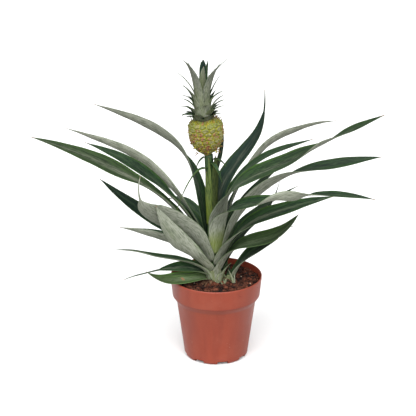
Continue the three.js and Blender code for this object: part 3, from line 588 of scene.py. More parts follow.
def pot_finish(settings):
    """Terracotta-coloured moulded plastic, with faint flow lines, dust, small scuffs and a painted shade line
    along the step.
    """
    pot = Finish("terracotta_plastic")
    place = pot.place()
    height = pot.parts(place)[2]
    flow = pot.noise(pot.stretch(place, (75, 75, 4)), 1.0, 3.0)
    cloud = pot.noise(place, 22, 3.0, 0.6)
    grain = pot.noise(place, 1400, 2.0)
    scuff = pot.noise(pot.stretch(place, (300, 300, 420)), 1.0, 3.0, 0.6)
    speck = pot.noise(place, 330, 1.0)
    colour = pot.blend(pot.span(flow, 0.4, 0.66, 0, 0.3), settings.clay, settings.deep)
    colour = pot.blend(pot.span(cloud, 0.45, 0.75, 0, 0.5), colour, settings.worn)
    # Painted shade: a dark line along the step under the band, standing in for the shade of its undercut.
    from_step = pot.sum("ABSOLUTE", pot.sum("SUBTRACT", height, STEP_HEIGHT * MM))
    step = pot.span(from_step, 0.3 * MM, 1.1 * MM, 1, 0)
    colour = pot.blend(pot.sum("MULTIPLY", step, 0.75), colour, settings.deep)
    low = pot.span(height, 0.0, 0.075, 1, 0.2)
    handled = pot.sum("MULTIPLY", low, pot.span(cloud, 0.45, 0.6))
    marks = pot.sum("MULTIPLY", pot.span(scuff, 0.68, 0.74), handled)
    colour = pot.blend(pot.sum("MULTIPLY", marks, 0.9), colour, settings.scuff)
    dirt = pot.sum("MULTIPLY", pot.span(speck, 0.77, 0.8), low)
    colour = pot.blend(dirt, colour, settings.dirt)
    colour = pot.blend(1.0, colour, pot.span(grain, 0.3, 0.7, 0.94, 1.06, False), "MULTIPLY")
    pot.set(Base_Color=colour, Roughness=pot.span(cloud, 0.3, 0.7, 0.4, 0.55), Specular_IOR_Level=0.35)
    pot.bump(pot.sum("ADD", grain, pot.sum("MULTIPLY", flow, 2.5)), 0.14, 0.3 * MM)
    return pot.material


def stem_finish(settings):
    """Green stalk with paler and darker lines along it."""
    stem = Finish("stalk_skin")
    place = stem.place()
    lines = stem.noise(stem.stretch(place, (900, 900, 12)), 1.0, 3.0, 0.6)
    fine = stem.noise(stem.stretch(place, (1900, 1900, 120)), 1.0, 3.0)
    colour = stem.blend(stem.span(lines, 0.4, 0.6), settings.sheath_line, settings.stalk)
    colour = stem.blend(stem.span(lines, 0.56, 0.68, 0, 0.8), colour, settings.sheath)
    colour = stem.blend(1.0, colour, stem.span(fine, 0.3, 0.7, 0.8, 1.2, False), "MULTIPLY")
    stem.set(Base_Color=colour, Roughness=0.5, Specular_IOR_Level=0.4)
    stem.bump(lines, 0.5, 0.5 * MM)
    return stem.material


# ------------------------------------------------------------------ mesh helpers


def through(values, shares):
    """A smooth curve through values that stand at even steps from 0 to 1."""
    points = np.asarray(values, float)
    last = len(points) - 1
    shares = np.asarray(shares, float)
    if last < 1:
        return np.full_like(shares, points[0])
    x = np.clip(shares, 0, 1) * last
    i = np.minimum(x.astype(int), last - 1)
    t = x - i
    slope = np.empty(last + 1)
    slope[1:-1] = (points[2:] - points[:-2]) / 2
    slope[0] = points[1] - points[0]
    slope[-1] = points[-1] - points[-2]
    return (points[i] * (2 * t**3 - 3 * t**2 + 1) + slope[i] * (t**3 - 2 * t**2 + t)
            + points[i + 1] * (3 * t**2 - 2 * t**3) + slope[i + 1] * (t**3 - t**2))


def add_piece(name, points, faces, material, nodes=(), notes=None):
    """Makes a mesh piece in metres, sets its point notes for the finish, hangs it under the root body and hides
    the solids it stands in for.
    """
    mesh = bpy.data.meshes.new(name)
    mesh.from_pydata([tuple(p) for p in np.asarray(points, float)], [], [tuple(f) for f in faces])
    mesh.shade_smooth()
    for key, values in (notes or {}).items():
        layer = mesh.attributes.new(key, "FLOAT_VECTOR", "POINT")
        layer.data.foreach_set("vector", np.asarray(values, np.float32).ravel())
    mesh.materials.append(material)
    piece = bpy.data.objects.new(name, mesh)
    bpy.context.scene.collection.objects.link(piece)
    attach(piece, "root")
    if nodes:
        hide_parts(*nodes)
    return piece


def moved(points, matrix):
    """Points in millimetres of a local frame as points in metres of the row's frame."""
    turned = np.asarray(matrix.to_3x3())
    return np.asarray(points) * MM @ turned.T + np.asarray(matrix.translation)


def grid_faces(rows, columns, start=0, wrap=False, flip=False):
    """Quads of a grid of points, rows by columns."""
    faces = []
    for i in range(rows - 1):
        for j in range(columns if wrap else columns - 1):
            a = start + i * columns + j
            b = start + i * columns + (j + 1) % columns
            quad = (a, b, b + columns, a + columns)
            faces.append(quad[::-1] if flip else quad)
    return faces


def blade_line(row, radius, steps):
    """Middle line and directions of a leaf, in millimetres of its stem's frame."""
    fine = 12
    shares = np.linspace(0, 1, steps * fine + 1)
    rise = np.radians(through(row["rise"], shares))
    yaw = np.radians(row["heading"] + through(row.get("turn", (0,)), shares))
    along = np.stack([np.cos(rise) * np.cos(yaw), np.cos(rise) * np.sin(yaw), np.sin(rise)], 1)
    line = np.zeros((len(shares), 3))
    line[1:] = np.cumsum((along[1:] + along[:-1]) / 2, 0) * row["length"] / (len(shares) - 1)
    angle = math.radians(row["heading"])
    line += (math.cos(angle) * radius, math.sin(angle) * radius, row["height"])
    keep = slice(None, None, fine)
    twist = np.radians(through(row.get("roll", (0,)), shares))[keep, None]
    along, yaw, line = along[keep], yaw[keep], line[keep]
    level = np.stack([-np.sin(yaw), np.cos(yaw), np.zeros_like(yaw)], 1)
    over = np.cross(along, level)
    side = level * np.cos(twist) + over * np.sin(twist)
    face = over * np.cos(twist) - level * np.sin(twist)
    return shares[keep], line, side, face


def blade(row, stem_radius, share, columns, step, edge, rib, wave, cup=30.0, tip=0.9):
    """Points, faces and notes of one leaf with two faces, in millimetres of its stem's frame."""
    radius = stem_radius + BLADE_GAP + row.get("out", 0)
    clasp = min(row["width"] * share, 2 * radius * math.radians(row.get("hug", 54)))
    steps = max(10, round(row["length"] / step))
    s, line, side, face = blade_line(row, radius, steps)
    far = s * row["length"]
    depth, at, spread = BLADE_WAIST
    waist = 1 - depth * np.exp(-(((far - at) / spread) ** 2))
    tail = row.get("tail", 1)
    taper = 1 - np.minimum(s / tail, 1) ** row.get("taper", 2.2)
    wide = row["width"] * taper * waist + (clasp - row["width"]) * np.exp(-far / FLARE)
    wide = np.maximum(wide, tip + (2.2 * np.minimum((1 - s) / (1 - tail), 1) if tail < 1 else 0))
    half = math.radians(cup) + (clasp / 2 / radius - math.radians(cup)) * np.exp(-((far / CLASP_LENGTH) ** 2))
    bend = wide / 2 / half
    rng = random.Random(int(row["height"] * 131 + row["heading"] * 17 + row["length"]))
    v = np.linspace(-1, 1, columns + 1)
    angle = v[None, :] * half[:, None]
    swell = np.minimum(far / 40, 1) * np.minimum((1 - s) * 6, 1)
    phases = [rng.uniform(0, 2 * math.pi) for _ in range(4)]
    ripple = np.zeros((len(s), columns + 1))
    for sign, first, second in ((-1, phases[0], phases[1]), (1, phases[2], phases[3])):
        shape = np.sin(far / 13 + first) * 0.6 + np.sin(far / 5.3 + second) * 0.25
        ripple += (shape * swell)[:, None] * np.clip(v * sign, 0, 1)[None, :] ** 3
    lift = bend[:, None] * (1 - np.cos(angle)) + ripple * wave
    middle = (line[:, None] + side[:, None] * (bend[:, None] * np.sin(angle))[..., None]
              + face[:, None] * lift[..., None])
    out = face[:, None] * np.cos(angle)[..., None] - side[:, None] * np.sin(angle)[..., None]
    thick = edge + (rib - edge) * (1 - v[None, :] ** 2) * (1 - s[:, None] ** 3)
    upper = middle + out * (thick / 2)[..., None]
    under = middle - out * (thick / 2)[..., None]
    rows, count = len(s), columns + 1
    points = np.concatenate([upper.reshape(-1, 3), under.reshape(-1, 3)])
    base = rows * count
    faces = grid_faces(rows, count, 0, flip=True) + grid_faces(rows, count, base)
    for i in range(rows - 1):
        a, b = i * count, (i + 1) * count
        faces.append((a, a + base, b + base, b))
        faces.append((a + count - 1, b + count - 1, b + count - 1 + base, a + count - 1 + base))
    for j in range(count - 1):
        faces.append((j, j + 1, j + 1 + base, j + base))
        end = (rows - 1) * count + j
        faces.append((end, end + base, end + 1 + base, end + 1))
    lot = rng.uniform(0, 9)
    across = np.broadcast_to(v[None, :], (rows, count))
    strip = np.stack([across * wide[:, None] / 2 * MM, np.broadcast_to(far[:, None] * MM, (rows, count)),
                      np.full((rows, count), lot)], -1).reshape(-1, 3)
    faced = np.stack([across, np.broadcast_to(s[:, None], (rows, count)), np.zeros((rows, count))],
                     -1).reshape(-1, 3)
    backed = faced.copy()
    backed[:, 2] = 1
    tone = row.get("tone", 1.0)
    looks = np.tile((tone, row.get("foot", 0.15), row.get("bloom_and_sheen", 0.35)), (2 * base, 1))
    looks[base:, 0] = row.get("pale", 1.0)
    cast = (row.get("olive", 0.0), row.get("blue", 0.0), row.get("mark", 0.0))
    notes = {
        "strip": np.concatenate([strip, strip + (0.02, 0, 3)]),
        "blade": np.concatenate([faced, backed]),
        "looks": looks,
        "cast": np.tile(cast, (2 * base, 1)),
    }
    return points, faces, notes


def gather(parts):
    """Joins several sets of points, faces and notes into one."""
    points, faces, notes, count = [], [], {}, 0
    for part_points, part_faces, part_notes in parts:
        points.append(part_points)
        faces.extend(tuple(i + count for i in face) for face in part_faces)
        for key, values in part_notes.items():
            notes.setdefault(key, []).append(values)
        count += len(part_points)
    return np.concatenate(points), faces, {key: np.concatenate(values) for key, values in notes.items()}


def lathe(profile, sides):
    """Points and faces of a closed turned body, from radius and height pairs in millimetres."""
    angles = np.linspace(0, 2 * math.pi, sides, endpoint=False)
    rings = [np.stack([r * np.cos(angles), r * np.sin(angles), np.full(sides, z)], 1) for r, z in profile]
    points = np.concatenate(rings + [[(0, 0, profile[0][1]), (0, 0, profile[-1][1])]])
    faces = grid_faces(len(profile), sides, 0, wrap=True)
    low, high = len(points) - 2, len(points) - 1
    last = (len(profile) - 1) * sides
    for j in range(sides):
        n = (j + 1) % sides
        faces.append((low, n, j))
        faces.append((high, last + j, last + n))
    return points, faces


def tube(line, radius, sides=7):
    """Points and faces of a thin closed thread along a line, in millimetres."""
    along = np.gradient(line, axis=0)
    along /= np.linalg.norm(along, axis=1)[:, None]
    level = np.cross(along, (0.31, 0.17, 0.93))
    level /= np.linalg.norm(level, axis=1)[:, None]
    over = np.cross(along, level)
    angles = np.linspace(0, 2 * math.pi, sides, endpoint=False)
    thin = radius * np.minimum(1, np.linspace(4, 0.35, len(line)))[:, None, None]
    ring = level[:, None] * np.cos(angles)[None, :, None] + over[:, None] * np.sin(angles)[None, :, None]
    points = (line[:, None] + ring * thin).reshape(-1, 3)
    faces = grid_faces(len(line), sides, 0, wrap=True)
    faces.append(tuple(range(sides))[::-1])
    faces.append(tuple(range(len(points) - sides, len(points))))
    return points, faces


def stem_radius(height):
    """Radius of the stem, which thins into the fruit's stalk."""
    return STALK_RADIUS + STEM_SWELL / (1 + math.exp((height - STEM_TOP) / STEM_BLEND))


# ------------------------------------------------------------------ pieces


def scatter_leaves(rows, name, matrix, radius_at, share, settings, finish, **looks):
    """Several small leaves as one piece that stands over its stem."""
    parts = []
    for row in rows:
        parts.append(blade({**looks, **row}, radius_at(row["height"]), share, 10, 1.5, settings.edge / MM,
                           settings.rib * SMALL_RIB / MM, settings.wave / MM))
    points, faces, notes = gather(parts)
    return add_piece(name, moved(points, matrix), faces, finish, (), notes)


def make_leaves(rows, prefix, matrix, radius_at, share, settings, finish, cup=30.0):
    """One fine leaf for each row, in the place of its plain solid."""
    for index, row in enumerate(rows, 1):
        columns = 16 if row["width"] > 12 else 10
        points, faces, notes = blade(row, radius_at(row["height"]), share, columns, 3.0,
                                     settings.edge / MM, settings.rib / MM, settings.wave / MM, cup)
        name = f"{prefix}_{index:02d}"
        add_piece(f"{name}_fine", moved(points, matrix), faces, finish, [name], notes)


class PINEAPPLE_OT_leaves(bpy.types.Operator):
    """Makes the strap leaves of the clump"""

    bl_idname = "pineapple.leaves"
    bl_label = "Strap leaves"

    def execute(self, context):
        settings = context.scene.pineapple_leaf
        finish = leaf_finish("leaf_skin", settings, settings.silver, settings.shadow)
        make_leaves(LEAVES, "leaf", PLANT, stem_radius, 1.05, settings, finish)
        return {"FINISHED"}


class PINEAPPLE_OT_shoot(bpy.types.Operator):
    """Makes the side shoot with its leaves"""

    bl_idname = "pineapple.shoot"
    bl_label = "Side shoot"

    def execute(self, context):
        settings = context.scene.pineapple_leaf
        finish = bpy.data.materials["leaf_skin"]
        make_leaves(SHOOT_LEAVES, "pup_leaf", SHOOT, lambda height: SHOOT_RADIUS, 0.8, settings, finish)
        scatter_leaves(SHOOT_SHEATHS, "shoot_sheaths", SHOOT, lambda height: SHOOT_RADIUS, 1.0, settings,
                       finish)
        points, faces = lathe([(3.5, -5), (4.6, -4), (4.6, 2), (4.2, 6), (3.7, 8.6), (3, 9)], 32)
        add_piece("pup_stem_fine", moved(points, SHOOT), faces, stem_finish(settings), ["pup_stem"])
        return {"FINISHED"}


class PINEAPPLE_OT_foot(bpy.types.Operator):
    """Makes the sheaths, young shoots and dry scraps at the foot of the clump"""

    bl_idname = "pineapple.foot"
    bl_label = "Foot of the clump"

    def execute(self, context):
        settings = context.scene.pineapple_leaf
        finish = bpy.data.materials["leaf_skin"]
        scatter_leaves(FOOT_SHEATHS, "foot_sheaths", PLANT, stem_radius, 1.0, settings, finish)
        parts = []
        for x, y, heading, length, width, rise in YOUNG_SHOOTS:
            matrix = Matrix.Translation((x * MM, y * MM, SOIL_LEVEL * MM))
            for turn, share in ((0, 1.0), (180, 0.8)):
                pitch = (rise, rise - 3, rise - 10) if turn == 0 else (92, 96, 104)
                row = dict(height=-2, heading=heading + turn, length=length * share, width=width, taper=1.5,
                           rise=pitch, hug=140, foot=0.35, tone=1.4)
                points, faces, notes = blade(row, 0.6, 1.1, 10, 1.2, settings.edge / MM,
                                             settings.rib * SMALL_RIB / MM, 0.2)
                parts.append((moved(points, matrix), faces, notes))
        points, faces, notes = gather(parts)
        add_piece("young_shoots", points, faces, finish, (), notes)
        husk = dry_finish("dry_leaf", settings.dry, settings.dry_dark)
        scatter_leaves(DRY_SCRAPS, "dry_scraps", PLANT, stem_radius, 0.9, settings, husk)
        return {"FINISHED"}


class PINEAPPLE_OT_stalk(bpy.types.Operator):
    """Makes the stem, the fruit's stalk and the stalk's narrow leaves"""

    bl_idname = "pineapple.stalk"
    bl_label = "Stem and stalk leaves"

    def execute(self, context):
        settings = context.scene.pineapple_leaf
        finish = leaf_finish("stalk_leaf_skin", settings, settings.sheath, settings.sheath_line, 1.3)
        make_leaves(STALK_LEAVES, "stalk_leaf", PLANT, stem_radius, 1.0, settings, finish, 20.0)
        scatter_leaves(STALK_SHEATHS, "stalk_sheaths", PLANT, stem_radius, 1.0, settings, finish)
        heights = np.concatenate([[-14, -13.5], np.linspace(-10, 174, 90), [174.9]])
        profile = [(stem_radius(h) - (0.6 if i in (0, len(heights) - 1) else 0), h)
                   for i, h in enumerate(heights)]
        points, faces = lathe(profile, 48)
        add_piece("stem_fine", moved(points, PLANT), faces, stem_finish(settings), ["stem"])
        return {"FINISHED"}


def fruit_skin(settings):
    """The fruit's body: a lattice of raised eyes with grooves between, in millimetres from its foot."""
    rows = settings.rows
    around = rows * 2
    shares = np.linspace(0, 1, rows)
    angles = np.linspace(0, 2 * math.pi, around, endpoint=False)
    t, a = np.meshgrid(shares, angles, indexing="ij")
    plain = through(FRUIT_RADII, t)
    lattice = t * (FRUIT_ROWS + 1) - 1
    first = np.full(t.shape, 9.0)
    second = np.full(t.shape, 9.0)
    owner = np.zeros(t.shape)
    pitch = FRUIT_HEIGHT / (FRUIT_ROWS + 1)
    for offset in (-1, 0, 1, 2):
        row = np.floor(lattice) + offset
        turn = a / (2 * math.pi) * EYES_AROUND - row / 2 - row * EYE_TWIST * EYES_AROUND / 360
        for nearest in (np.floor(turn), np.floor(turn) + 1):
            own = np.mod(nearest, EYES_AROUND)
            stray = np.sin(row * 12.7 + own * 78.2) * 43758.5453
            du = (turn - nearest) * 2 * math.pi * EYE_SPREAD / EYES_AROUND
            du = du + (np.mod(stray, 1) - 0.5) * EYE_STRAY[0]
            dv = (lattice - row) * pitch * 1.12 + (np.mod(stray * 7.3, 1) - 0.5) * EYE_STRAY[1]
            gap = np.hypot(du, dv)
            closer = gap < first
            second = np.where(closer, first, np.minimum(second, gap))
            owner = np.where(closer, row * 31 + np.mod(nearest, EYES_AROUND) * 7, owner)
            first = np.where(closer, gap, first)
    border = np.clip((second - first) / GROOVE_WIDTH, 0, 1)
    dome = border**0.6 * (1 - 0.18 * np.exp(-((first / 1.3) ** 2)))
    fade = np.minimum(np.minimum(t, 1 - t) * 9, 1)
    places = np.stack([plain * np.cos(a), plain * np.sin(a), t * FRUIT_HEIGHT], -1).reshape(-1, 3) / KNOB_SIZE
    knobs = np.array([noise.fractal(Vector(place), 0.8, 2.1, 2) for place in places]).reshape(t.shape)
    radius = plain + settings.eye_height / MM * (dome - 0.15) * fade + knobs * fade
    points = np.stack([radius * np.cos(a), radius * np.sin(a), t * FRUIT_HEIGHT], -1).reshape(-1, 3)
    points = np.concatenate([points, [(0, 0, 0), (0, 0, FRUIT_HEIGHT)]])
    faces = grid_faces(rows, around, 0, wrap=True)
    last = (rows - 1) * around
    for j in range(around):
        n = (j + 1) % around
        faces.append((len(points) - 2, n, j))
        faces.append((len(points) - 1, last + j, last + n))
    lot = np.mod(np.sin(owner * 12.9898) * 43758.5453, 1)
    notes = np.stack([border, np.zeros_like(border), lot], -1).reshape(-1, 3)
    climb = np.stack([t, t, t], -1).reshape(-1, 3)
    return points, faces, {"eye": np.concatenate([notes, [(0, 0, 0), (0, 0, 0)]]),
                           "rise": np.concatenate([climb, [(0, 0, 0), (1, 1, 1)]])}


def fruit_bract(share, angle, length, curl, rng):
    """A dry leaf that hugs the lower half of an eye and curls out at its point."""
    radius = float(through(FRUIT_RADII, share))
    slope = float(through(FRUIT_RADII, min(share + 0.03, 1)) - through(FRUIT_RADII, max(share - 0.03, 0)))
    lean = math.atan2(slope, 0.06 * FRUIT_HEIGHT) * (1 if share < 0.8 else 0.4)
    outward = Vector((math.cos(angle), math.sin(angle), 0))
    across = Vector((-math.sin(angle), math.cos(angle), 0))
    up = Vector((0, 0, 1)) * math.cos(lean) + outward * math.sin(lean)
    out = outward * math.cos(lean) - Vector((0, 0, 1)) * math.sin(lean)
    base = outward * (radius + 0.3) + Vector((0, 0, share * FRUIT_HEIGHT - 2.8))
    bands, columns = 10, 4
    sway = rng.uniform(-0.9, 0.9)
    broad = rng.uniform(1.3, 2.6)
    lot = rng.random()
    points, notes = [], []
    for face in (1, -1):
        for i in range(bands + 1):
            s = i / bands
            rise = length * (0.1 + 0.8 * s) * (1 - 0.3 * curl * s * s)
            proud = 1.0 + length * (0.05 + 0.55 * curl * s**2.4)
            wide = broad * (1 - s) ** 0.8 + 0.32
            for j in range(columns + 1):
                v = 2 * j / columns - 1
                spot = (base + up * rise + out * (proud - 0.9 * wide / 2.9 * v * v + face * 0.16)
                        + across * (v * wide + sway * length * 0.35 * s * s))
                points.append(spot[:])
                notes.append((0.6, 0.15 + 0.85 * s, lot))
    count, base_index = columns + 1, (bands + 1) * (columns + 1)
    faces = grid_faces(bands + 1, count) + grid_faces(bands + 1, count, base_index, flip=True)
    for i in range(bands):
        a, b = i * count, (i + 1) * count
        faces.append((a, a + base_index, b + base_index, b))
        faces.append((a + columns, b + columns, b + columns + base_index, a + columns + base_index))
    for j in range(columns):
        faces.append((j, j + 1, j + 1 + base_index, j + base_index))
        end = bands * count + j
        faces.append((end, end + base_index, end + 1 + base_index, end + 1))
    return np.array(points), faces, {"eye": np.array(notes), "rise": np.full((len(points), 3), share)}


class PINEAPPLE_OT_fruit(bpy.types.Operator):
    """Makes the fruit with its eyes and bracts"""

    bl_idname = "pineapple.fruit"
    bl_label = "Fruit"

    def execute(self, context):
        settings = context.scene.pineapple_fruit
        rng = random.Random(7)
        parts = [fruit_skin(settings)]
        for row in range(FRUIT_ROWS):
            for column in range(EYES_AROUND):
                angle = math.radians((column + row / 2) * 360 / EYES_AROUND + row * EYE_TWIST)
                share = (row + 1) / (FRUIT_ROWS + 1)
                kind = rng.random()
                if kind > BRACT_SHARE:
                    continue
                long = kind < LONG_SHARE
                reach = rng.uniform(0.75, 1.1) if long else rng.uniform(0.3, 0.5)
                curl = rng.uniform(0.9, 1.7) if long else rng.uniform(0.3, 0.9)
                parts.append(fruit_bract(share, angle + rng.uniform(-0.1, 0.1),
                                         settings.bract_length / MM * reach, curl, rng))
        for k in range(COLLAR_BRACTS):
            angle = math.radians((k + rng.uniform(-0.3, 0.3)) * 360 / COLLAR_BRACTS)
            length = settings.bract_length / MM * rng.uniform(0.9, 1.5)
            parts.append(fruit_bract(rng.uniform(0.88, 0.95), angle, length, rng.uniform(0.2, 1.1), rng))
        points, faces, notes = gather(parts)
        foot = PLANT @ Matrix.Translation((FRUIT_FOOT[0] * MM, 0, FRUIT_FOOT[1] * MM))
        add_piece("fruit_fine", moved(points, foot), faces, fruit_finish(settings), ["fruit"],
                  notes)
        return {"FINISHED"}


def crown_core(height):
    """Radius of the crown's core at a height."""
    return max(CORE_RADIUS * (1 - (max(height, 0) / CORE_HEIGHT) ** 2), 0.5)


class PINEAPPLE_OT_crown(bpy.types.Operator):
    """Makes the tuft of hooked leaves on the fruit"""

    bl_idname = "pineapple.crown"
    bl_label = "Crown"

    def execute(self, context):
        settings = context.scene.pineapple_crown
        leaf = context.scene.pineapple_leaf
        rng = random.Random(23)
        rows = list(CROWN_LEAVES)
        for i in range(CROWN_FILL):
            age = i / (CROWN_FILL - 1)
            heading = (200 + i * GOLDEN_ANGLE) % 360
            if not 35 < heading < 160 and age > 0.3:
                continue
            start = 40 + 44 * math.sqrt(age)
            length = (13 + 34 * age) * rng.uniform(0.9, 1.1)
            rows.append(dict(height=1 + 30 * age, heading=heading, length=length, width=8 + 5 * age,
                             rise=(start, start - 14 + 8 * age, start - 36 + 24 * age,
                                   start - 60 + 44 * age)))
        for k in range(CROWN_COLLAR):
            lean = rng.uniform(-8, 8)
            rows.append(dict(height=rng.uniform(-1.5, 1),
                             heading=(k + rng.uniform(-0.3, 0.3)) * 360 / CROWN_COLLAR,
                             length=rng.uniform(9, 14), width=rng.uniform(7, 9), pale=0.5, tone=0.6, out=1.4,
                             rise=(76 + lean, 58 + lean, 26 + lean, -4 + lean), taper=1.6))
        parts = []
        for row in rows:
            looks = dict(tone=rng.uniform(0.8, 1.0), pale=rng.uniform(0.9, 1.08), foot=rng.uniform(0.1, 0.5),
                         bloom_and_sheen=0.2, blue=0.35, taper=1.5)
            looks.update(row)
            parts.append(blade(looks, crown_core(row["height"]) - 1.0, 1.05, 8, 1.6, settings.edge / MM,
                               settings.rib / MM, 0.1, 32, 0.6))
        core = [(crown_core(h) * (0.6 if h < -1 else 1), h) for h in np.linspace(-1.5, 45, 16)]
        points, faces = lathe(core, 24)
        zeros = np.zeros_like(points)
        notes = {"strip": points * MM, "blade": zeros + (0, 0.5, 0), "looks": zeros + (0.5, 0, 0),
                 "cast": zeros}
        parts.append((points, faces, notes))
        points, faces, notes = gather(parts)
        foot = PLANT @ Matrix.Translation((CROWN_FOOT[0] * MM, 0, CROWN_FOOT[1] * MM))
        finish = leaf_finish("crown_skin", leaf, settings.silver, settings.shadow, 1.6)
        add_piece("crown_fine", moved(points, foot), faces, finish, ["crown"], notes)
        husk = bpy.data.materials["dry_leaf"]
        t = np.linspace(0, 1, 46)
        curl = t * 2 * math.pi * 2.3
        line = np.stack([9 + 8.5 * t + 2.3 * np.cos(curl) * t, -6 - 4 * t,
                         0.5 + 5 * np.sin(t * 2.6) + 2.3 * np.sin(curl) * t], 1)
        points, faces = tube(line, 0.42)
        add_piece("dry_curl", moved(points, foot), faces, husk)
        return {"FINISHED"}


def crumb_shape(size, flat, rng):
    """A small rough lump of twelve points."""
    ratio = (1 + math.sqrt(5)) / 2
    corners = [(-1, ratio, 0), (1, ratio, 0), (-1, -ratio, 0), (1, -ratio, 0), (0, -1, ratio), (0, 1, ratio),
               (0, -1, -ratio), (0, 1, -ratio), (ratio, 0, -1), (ratio, 0, 1), (-ratio, 0, -1),
               (-ratio, 0, 1)]
    faces = [(0, 11, 5), (0, 5, 1), (0, 1, 7), (0, 7, 10), (0, 10, 11), (1, 5, 9), (5, 11, 4), (11, 10, 2),
             (10, 7, 6), (7, 1, 8), (3, 9, 4), (3, 4, 2), (3, 2, 6), (3, 6, 8), (3, 8, 9), (4, 9, 5),
             (2, 4, 11), (6, 2, 10), (8, 6, 7), (9, 8, 1)]
    stretch = Vector((rng.uniform(0.7, 1.6), rng.uniform(0.6, 1.1), flat))
    turn = Matrix.Rotation(rng.uniform(0, 6.3), 3, "Z") @ Matrix.Rotation(rng.uniform(-0.5, 0.5), 3, "X")
    points = []
    for corner in corners:
        spot = Vector(corner).normalized() * (size / 2 * rng.uniform(0.75, 1.25))
        points.append((turn @ Vector((spot.x * stretch.x, spot.y * stretch.y, spot.z * stretch.z)))[:])
    return np.array(points), faces


def soil_height(x, y):
    """Height of the soil's rough surface over its level, in millimetres."""
    broad = noise.noise(Vector((x / 14, y / 14, 1.7)))
    rough = noise.fractal(Vector((x / 3.2, y / 3.2, 4.1)), 0.9, 2.1, 3)
    return 1.2 * broad + 0.9 * rough - 0.6


class PINEAPPLE_OT_soil(bpy.types.Operator):
    """Makes the potting mix with its crumbs"""

    bl_idname = "pineapple.soil"
    bl_label = "Soil"

    def execute(self, context):
        settings = context.scene.pineapple_soil
        rng = random.Random(11)
        edge, rings, sides = SOIL_RADIUS, 64, 190
        points, notes = [], []
        for i in range(rings + 1):
            radius = edge * (i / rings) ** 0.9
            for j in range(sides):
                angle = 2 * math.pi * j / sides
                x, y = radius * math.cos(angle), radius * math.sin(angle)
                calm = min(1, (edge - radius) / 2)
                points.append((x, y, SOIL_LEVEL + soil_height(x, y) * calm - (1 - calm) * 0.5))
                notes.append((rng.random() * 0.5, 0, 0))
        low, foot = len(points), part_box("soil")[0].z / MM
        for radius, height in (*SOIL_SIDE, (SOIL_FOOT_RADIUS, foot)):
            for j in range(sides):
                angle = 2 * math.pi * j / sides
                points.append((radius * math.cos(angle), radius * math.sin(angle), height))
                notes.append((0.2, 0, 0))
        faces = grid_faces(rings + 1, sides, 0, wrap=True)
        faces += grid_faces(4, sides, low - sides, wrap=True)
        hub = len(points)
        points.append((0, 0, foot))
        notes.append((0.2, 0, 0))
        last = hub - sides
        faces += [(hub, last + (j + 1) % sides, last + j)[::-1] for j in range(sides)]
        parts = [(np.array(points), faces, {"crumb": np.array(notes)})]
        for k in range(settings.crumbs):
            radius = (edge - 2.5) * math.sqrt(rng.random())
            angle = rng.uniform(0, 2 * math.pi)
            x, y = radius * math.cos(angle), radius * math.sin(angle)
            white = rng.random() < WHITE_SHARE
            size = settings.crumb_size / MM * (0.45 + 1.7 * rng.random() ** 2.4)
            shape, sides_of = crumb_shape(min(size, 2.2) if white else size, rng.uniform(0.35, 0.9), rng)
            shape = shape + (x, y, SOIL_LEVEL + soil_height(x, y) + 0.3 * size * rng.random())
            lot = rng.random()
            parts.append((shape, sides_of, {"crumb": np.tile((lot, float(white), 0), (len(shape), 1))}))
        for k in range(settings.fibres):
            radius = (edge - 8) * math.sqrt(rng.random())
            angle, heading = rng.uniform(0, 2 * math.pi), rng.uniform(0, 2 * math.pi)
            bend, length = rng.uniform(-1.6, 1.6), rng.uniform(5, 14)
            x, y, line = radius * math.cos(angle), radius * math.sin(angle), []
            for i in range(9):
                share = i / 8
                lift = 0.5 + 1.4 * math.sin(share * math.pi) * rng.uniform(0.8, 1.1)
                line.append((x, y, SOIL_LEVEL + soil_height(x, y) + lift))
                x += math.cos(heading + bend * share) * length / 8
                y += math.sin(heading + bend * share) * length / 8
            shape, sides_of = tube(np.array(line), rng.uniform(0.16, 0.34), 5)
            lot = rng.uniform(0.4, 1.1)
            parts.append((shape, sides_of, {"crumb": np.tile((lot, 0, 0), (len(shape), 1))}))
        points, faces, notes = gather(parts)
        add_piece("soil_fine", points * MM, faces, soil_finish(settings), ["soil"], notes)
        return {"FINISHED"}


def pot_profile(lip):
    """The pot's outline up its outside, over its lip and down its inside, in millimetres."""
    corner = [(BASE_RADIUS + CORNER_RADIUS * math.sin(a), CORNER_RADIUS * (1 - math.cos(a)))
              for a in np.radians(np.linspace(0, 80, 7))]
    wall = [(42.1, 5.5), (51.8, 76.4), (52.3, 77.8), (53.4, 79.4), (55.6, 82.6), (56.3, 83.8),
            (56.5, STEP_HEIGHT - 0.3), (57.1, STEP_HEIGHT), (57.4, STEP_HEIGHT + 0.5),
            (57.5, STEP_HEIGHT + 1.2), (59.9, 109.4)]
    top = [(RIM_RADIUS - lip * share, POT_HEIGHT - drop)
           for share, drop in ((0, 1.4), (0.12, 0.5), (0.5, 0), (0.88, 0.5), (1, 1.4))]
    inner = [(58.3, 108), (56.0, 87.0), (54.6, 84.0), (51.4, 79.4), (50.4, 76.4), (40.8, 6), (40, 3),
             (39, 2)]
    return corner + wall + top + inner


